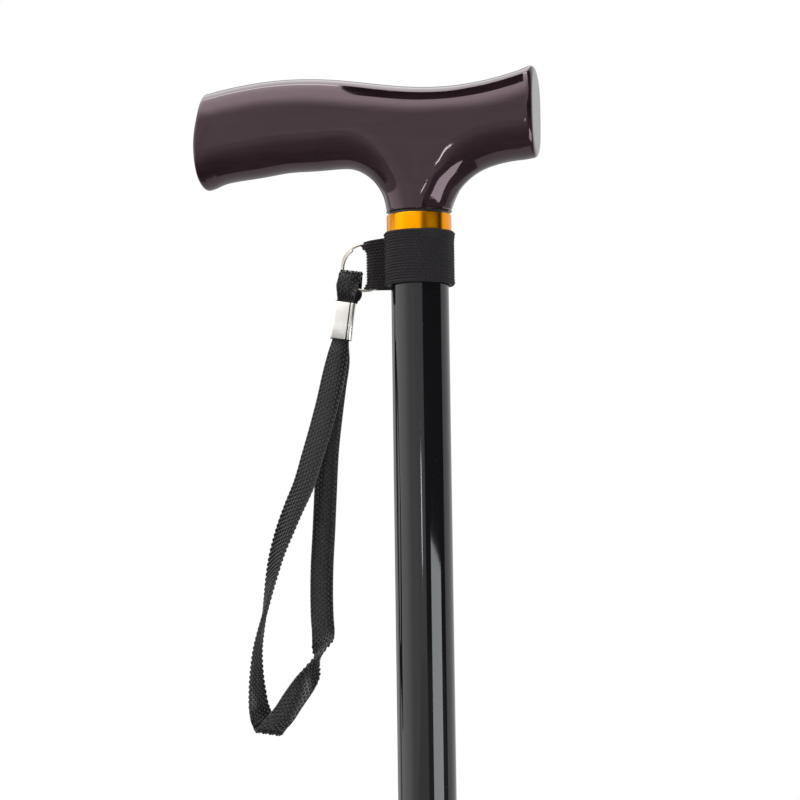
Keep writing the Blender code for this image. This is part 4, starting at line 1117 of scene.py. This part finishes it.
def frontLegKnots(full):
    # Up the other side, turning edge on and then flat to the front
    return [
        knot(-0.0424, 0.0018, -0.1694, full, (-0.78, -0.50, -0.28)),
        knot(-0.0433, 0.0026, -0.1619, full, (-0.61, -0.78, -0.08)),
        knot(-0.0435, 0.0027, -0.1542, full, (-0.40, -0.91, 0.0)),
        knot(-0.0430, 0.0020, -0.1460, full, (-0.21, -0.97, 0.04)),
        knot(-0.0416, 0.0010, -0.1387, full, (-0.05, -1.0, 0.06)),
        knot(-0.0402, 0.0002, -0.1327, full, (0.08, -0.99, 0.08)),
        knot(-0.0389, -0.0010, -0.1262, full, (0.24, -0.96, 0.12)),
        knot(-0.0371, -0.0022, -0.1177, full, (0.46, -0.87, 0.16)),
        knot(-0.0350, -0.0034, -0.1097, full, (0.62, -0.77, 0.20)),
        knot(-0.0318, -0.0048, -0.1009, full, (0.77, -0.59, 0.24)),
        knot(-0.0283, -0.0058, -0.0925, full, (0.84, -0.46, 0.30)),
        knot(-0.0245, -0.0066, -0.0841, full, (0.88, -0.34, 0.33)),
        knot(-0.0211, -0.0064, -0.0732, full, (0.91, -0.25, 0.31)),
        knot(-0.0181, -0.0056, -0.0633, full, (0.94, -0.18, 0.28)),
        knot(-0.0153, -0.0045, -0.0531, full, (0.96, -0.12, 0.24)),
        knot(-0.0126, -0.0031, -0.0417, full, (0.97, -0.06, 0.18)),
        knot(-0.0109, -0.0019, -0.0337, full * 0.9, (0.98, 0.0, 0.0)),
    ]


def strapRow(row, along):
    # Place, direction across, half the width and the face's normal of one row of the strap
    direction = Vector(row[4:7]).normalized()
    direction = (direction - along * (direction.dot(along) * (1 - row[7]))).normalized()
    up = along.cross(direction)
    half = row[3] / 2 / up.length
    turned = [across * v.x + behind * v.y + upward * v.z for v in (direction, up.normalized(), along)]
    return local(*row[:3]), half, *turned


def addStrap():
    flat = (math.cos(strap["tilt"]), 0.0, -math.sin(strap["tilt"]))
    layer = (strap["layerGap"] + strap["thick"]) / 2
    knots = eyeKnots(flat, layer)
    eyeSteps = 8 * (len(knots) - 1)
    knots += backLegKnots(strap["width"])
    knots += foldKnots(strap["width"]) + frontLegKnots(strap["width"])
    for share in (1.0, 0.75, 0.53):
        x, z = strapLine(crimp["length"] * share)
        knots.append(knot(x, -layer, z, strap["crimped"], flat))
    path = through(knots, 8)
    runs = lengths(path)
    thick = strap["core"] / 2
    section = ((-1, -0.5), (-0.93, -1), (0, -1), (0.93, -1), (1, -0.5),
               (1, 0.5), (0.93, 1), (0, 1), (-0.93, 1), (-1, 0.5))
    bm = bmesh.new()
    rings = []
    for i, row in enumerate(path):
        ahead, back = Vector(path[min(i + 1, len(path) - 1)][:3]), Vector(path[max(i - 1, 0)][:3])
        here, half, side, up, _ = strapRow(row, (ahead - back).normalized())
        rings.append([bm.verts.new(here + side * ((half - strap["edge"]) * a) + up * (thick * b))
                      for a, b in section])
    skin(bm, rings)
    addPiece("strapCore", bm, "black_webbing", "strap", ["wrist_strap"], 50)
    points = []
    picks = int(runs[-1] / strap["period"])
    pitch = 2 / strap["columns"]
    for pick in range(picks):
        for column in range(strap["columns"]):
            for face in (-1, 1):
                shift = 0.5 * ((column + (face > 0)) % 2)
                run = (pick + 0.25 + shift) * runs[-1] / picks
                # The eye's inside stays bare, because the ring's wire runs there
                if run > runs[-1] - 0.0005 or face > 0 and run < runs[eyeSteps]:
                    continue
                row, along = onLine(path, runs, run)
                here, half, side, up, forward = strapRow(row, along)
                offset = half * (-1 + pitch * (column + 0.5))
                crowd = half / (strap["width"] / 2)
                points.append((here + side * offset + up * (face * thick), forward, up * face,
                               (1, crowd, 1)))
    addStitches("strapWeave", points, strap["float"], "black_webbing", "strap")


def roundedC(wide, deep, corner, seam):
    # A rounded rectangle open at a narrow seam on its front face
    line = [(crimp["seamX"] + seam / 2, -deep)]
    for x, y, start in ((wide, -deep, 270), (wide, deep, 0), (-wide, deep, 90), (-wide, -deep, 180)):
        for step in range(9):
            turn = math.radians(start + 90 * step / 8)
            line.append((x - math.copysign(corner, x) + corner * math.cos(turn),
                         y - math.copysign(corner, y) + corner * math.sin(turn)))
    return line + [(crimp["seamX"] - seam / 2, -deep)]


def addCrimp():
    wide = strap["crimped"] / 2 + crimp["gap"]
    deep = strap["layerGap"] / 2 + strap["thick"] + crimp["gap"]
    side = across * math.cos(strap["tilt"]) - upward * math.sin(strap["tilt"])
    bm = bmesh.new()
    rings = []
    edge = crimp["edge"]
    for along, inset in ((0, edge), (edge * 0.3, edge * 0.3), (edge, 0), (crimp["length"] - edge, 0),
                         (crimp["length"] - edge * 0.3, edge * 0.3), (crimp["length"], edge)):
        seam = crimp["seam"] + inset
        inner = roundedC(wide + inset, deep + inset, crimp["corner"], seam)
        outer = roundedC(wide + crimp["wall"] - inset, deep + crimp["wall"] - inset,
                         crimp["corner"] + crimp["wall"], seam)
        x, z = strapLine(along)
        base = local(x, 0, z)
        rings.append([bm.verts.new(base + side * a + behind * b) for a, b in outer + inner[::-1]])
    skin(bm, rings)
    addPiece("crimpSleeve", bm, "nickel", "strap", ["strap_crimp"], 40)


addStrap()
addCrimp()
print("strap made")


# Stage, camera and light

def finishInnerNodes():
    # These CAD nodes stay as they are, inside the cane
    inner = {"handle_stud": "zinc_steel", "shaft_plug": "black_nylon", "plug_pin": "zinc_steel",
             "guide_bush": "black_nylon", "button_spring": "zinc_steel", "ferrule_washer": "zinc_steel"}
    for name, slot in inner.items():
        for place in bpy.data.objects[name].material_slots:
            place.material = finishes[slot]


def makeStage():
    plain = Finish("floorPaper", (0.86, 0.86, 0.86), 0.6)
    plain.set("Specular IOR Level", 0.0)
    bm = bmesh.new()
    bmesh.ops.create_grid(bm, x_segments=1, y_segments=1, size=6)
    floor = meshObject("floor", bm)
    floor.data.materials.append(plain.material)


view = {"azimuth": 11.0, "distance": 1.0, "below": 0.1548, "aimLeft": 0.00826, "aimDown": 0.0707,
        "frameWidth": 0.3045, "roll": 0.79}


def makeCamera():
    turn = math.radians(view["azimuth"])
    right = Vector((math.cos(turn), math.sin(turn), 0))
    back = Vector((math.sin(turn), -math.cos(turn), 0))
    aim = upward * (collarHigh.z - view["aimDown"]) - right * view["aimLeft"]
    camera = link(bpy.data.objects.new("camera", bpy.data.cameras.new("camera")))
    place = aim + back * view["distance"]
    place.z = collarHigh.z - view["below"] * view["distance"]
    camera.location = place
    look = aim - place
    roll = Matrix.Rotation(math.radians(-view["roll"]), 3, "Z")
    camera.rotation_euler = (look.to_track_quat("-Z", "Y").to_matrix() @ roll).to_euler()
    camera.data.lens = 36 * look.length / view["frameWidth"]
    camera.data.clip_start = 0.05
    bpy.context.scene.camera = camera


def aimAt(item, place, target):
    item.location = place
    item.rotation_euler = (Vector(target) - Vector(place)).to_track_quat("-Z", "Y").to_euler()


def onCircle(azimuth, distance, height):
    turn = math.radians(azimuth)
    return Vector((math.sin(turn) * distance, -math.cos(turn) * distance, height))


def addLamp(name, place, target, size, power, mirrored=True, diffuse=1.0, roll=0.0, colour=(1, 1, 1)):
    lamp = bpy.data.lights.new(name, "AREA")
    lamp.color = colour
    lamp.shape = "RECTANGLE"
    lamp.size, lamp.size_y = size
    lamp.energy = power
    lamp.diffuse_factor = diffuse
    item = link(bpy.data.objects.new(name, lamp))
    aimAt(item, place, target)
    item.rotation_euler.rotate_axis("Z", math.radians(roll))
    item.visible_camera = False
    item.visible_glossy = mirrored


# Where a card's far glow lies: distances and azimuths, each with the width of its soft edge
horizon = {"distances": (2.2, 100, 1.95), "azimuths": (-70, 18.5, 1.5)}


def rectangle(left, right, front, back):
    return [(left, front), (right, front), (right, back), (left, back)]


def addCard(name, height, outline, glow=0.0, farGlow=None):
    # A level card that only reflections see; farGlow is its strength far off in front
    bm = bmesh.new()
    bm.faces.new([bm.verts.new((x, y, height)) for x, y in outline])
    card = meshObject(name, bm)
    cloth = Finish(name + "Cloth", (0.004, 0.004, 0.004), 1.0)
    cloth.set("Emission Color", (glow, glow, glow, 1.0))
    cloth.set("Emission Strength", 1.0)
    if farGlow:
        place = cloth.node("ShaderNodeTexCoord", output="Object")
        distance = cloth.node("ShaderNodeVectorMath", {"operation": "LENGTH"}, {0: place}, output="Value")
        far = cloth.within(distance, *horizon["distances"])
        ahead = cloth.within(cloth.azimuthOf(place), *horizon["azimuths"])
        cloth.set("Emission Color", far * ahead * (farGlow - glow) + glow)
    card.data.materials.append(cloth.material)
    card.visible_camera = False
    card.visible_diffuse = False
    card.visible_shadow = False
    card.visible_transmission = False


# What reflections see round the object: azimuths from -Y towards +X and elevations in degrees, each
# with the width of its soft edge, and the strength there
studio = {
    "left": ((-105, -50, 18), (-60, 34, 8), 0.75),
    "front": ((-13, 60, 3), (-60, 38, 8), -0.12),
    "top": ((-190, 40, 8), (35, 120, 12), 1.5),
    "topLeft": ((-190, 0, 10), (35, 120, 12), 1.1),
    "behindRight": ((160, 178, 4), (-20, 40, 8), -0.12),
    "rightFlag": ((18.5, 101, 1.5), (-90, 62, 8), -1.0),
    "leftLine": ((-115, -107, 1), (-90, 60, 8), -0.9),
    "leftEdge": ((-176, -143, 3), (-90, 60, 8), -0.7),
}


def makeWorld():
    world = bpy.data.worlds.new("studio")
    world.use_nodes = True
    bpy.context.scene.world = world
    graph = Graph(world.node_tree)
    direction = graph.node("ShaderNodeTexCoord", output="Generated")
    z = graph.node("ShaderNodeSeparateXYZ", values={"Vector": direction}, output=2)
    azimuth = graph.azimuthOf(direction)
    elevation = graph.node("ShaderNodeMath", {"operation": "ARCSINE"}, {0: z}) * math.degrees(1)

    mirrored = 1.0
    for azimuths, elevations, strength in studio.values():
        here = graph.within(azimuth, *azimuths) * graph.within(elevation, *elevations)
        mirrored = mirrored + here * strength
    mirrored = mirrored.maths("MAXIMUM", 0.0)
    path = graph.tree.nodes.new("ShaderNodeLightPath")
    camera, glossy, passed = [Value(graph, path.outputs[name])
                              for name in ("Is Camera Ray", "Is Glossy Ray", "Is Transmission Ray")]
    shown = camera.maths("MAXIMUM", passed)
    strength = 0.55 + shown * 0.45
    strength = strength + glossy * (mirrored - strength)
    background = graph.tree.nodes["Background"]
    background.inputs["Color"].default_value = (1, 1, 1, 1)
    graph.feed(background.inputs["Strength"], strength)


bpy.context.scene.view_settings.view_transform = "Standard"
finishInnerNodes()
makeStage()
makeCamera()
makeWorld()
addLamp("keySoftbox", onCircle(-40, 2.0, 1.9), (0, 0, 0.7), (1.2, 1.2), 22, mirrored=False)
addLamp("stripSoftbox", onCircle(58, 0.5, 0.52), (0, 0, 0.52), (0.375, 0.345), 2.0, diffuse=0.0,
        roll=-2.5, colour=(0.96, 1.0, 1.03))
addLamp("smallLamp", onCircle(4.2, 1.2, 0.746), (0, 0, 0.69), (0.04, 0.09), 0.2,
        colour=(0.9, 1.0, 1.0))
addCard("lowCard", 0.262, [(-2.1, 0.125), (-2.1, -25), (25, -25), (25, 0.7), (0.25, 0.7), (0.25, -0.035),
                           (-0.02, -0.035), (-0.02, 0.125)], 0.08, farGlow=0.6)
addCard("overHandle", 1.02, rectangle(-0.043, 0.5, -0.12, 0.02))
addCard("shoulderLine", 1.02, rectangle(-0.2, -0.045, 0, 0.017), 8.0)
print("stage made")
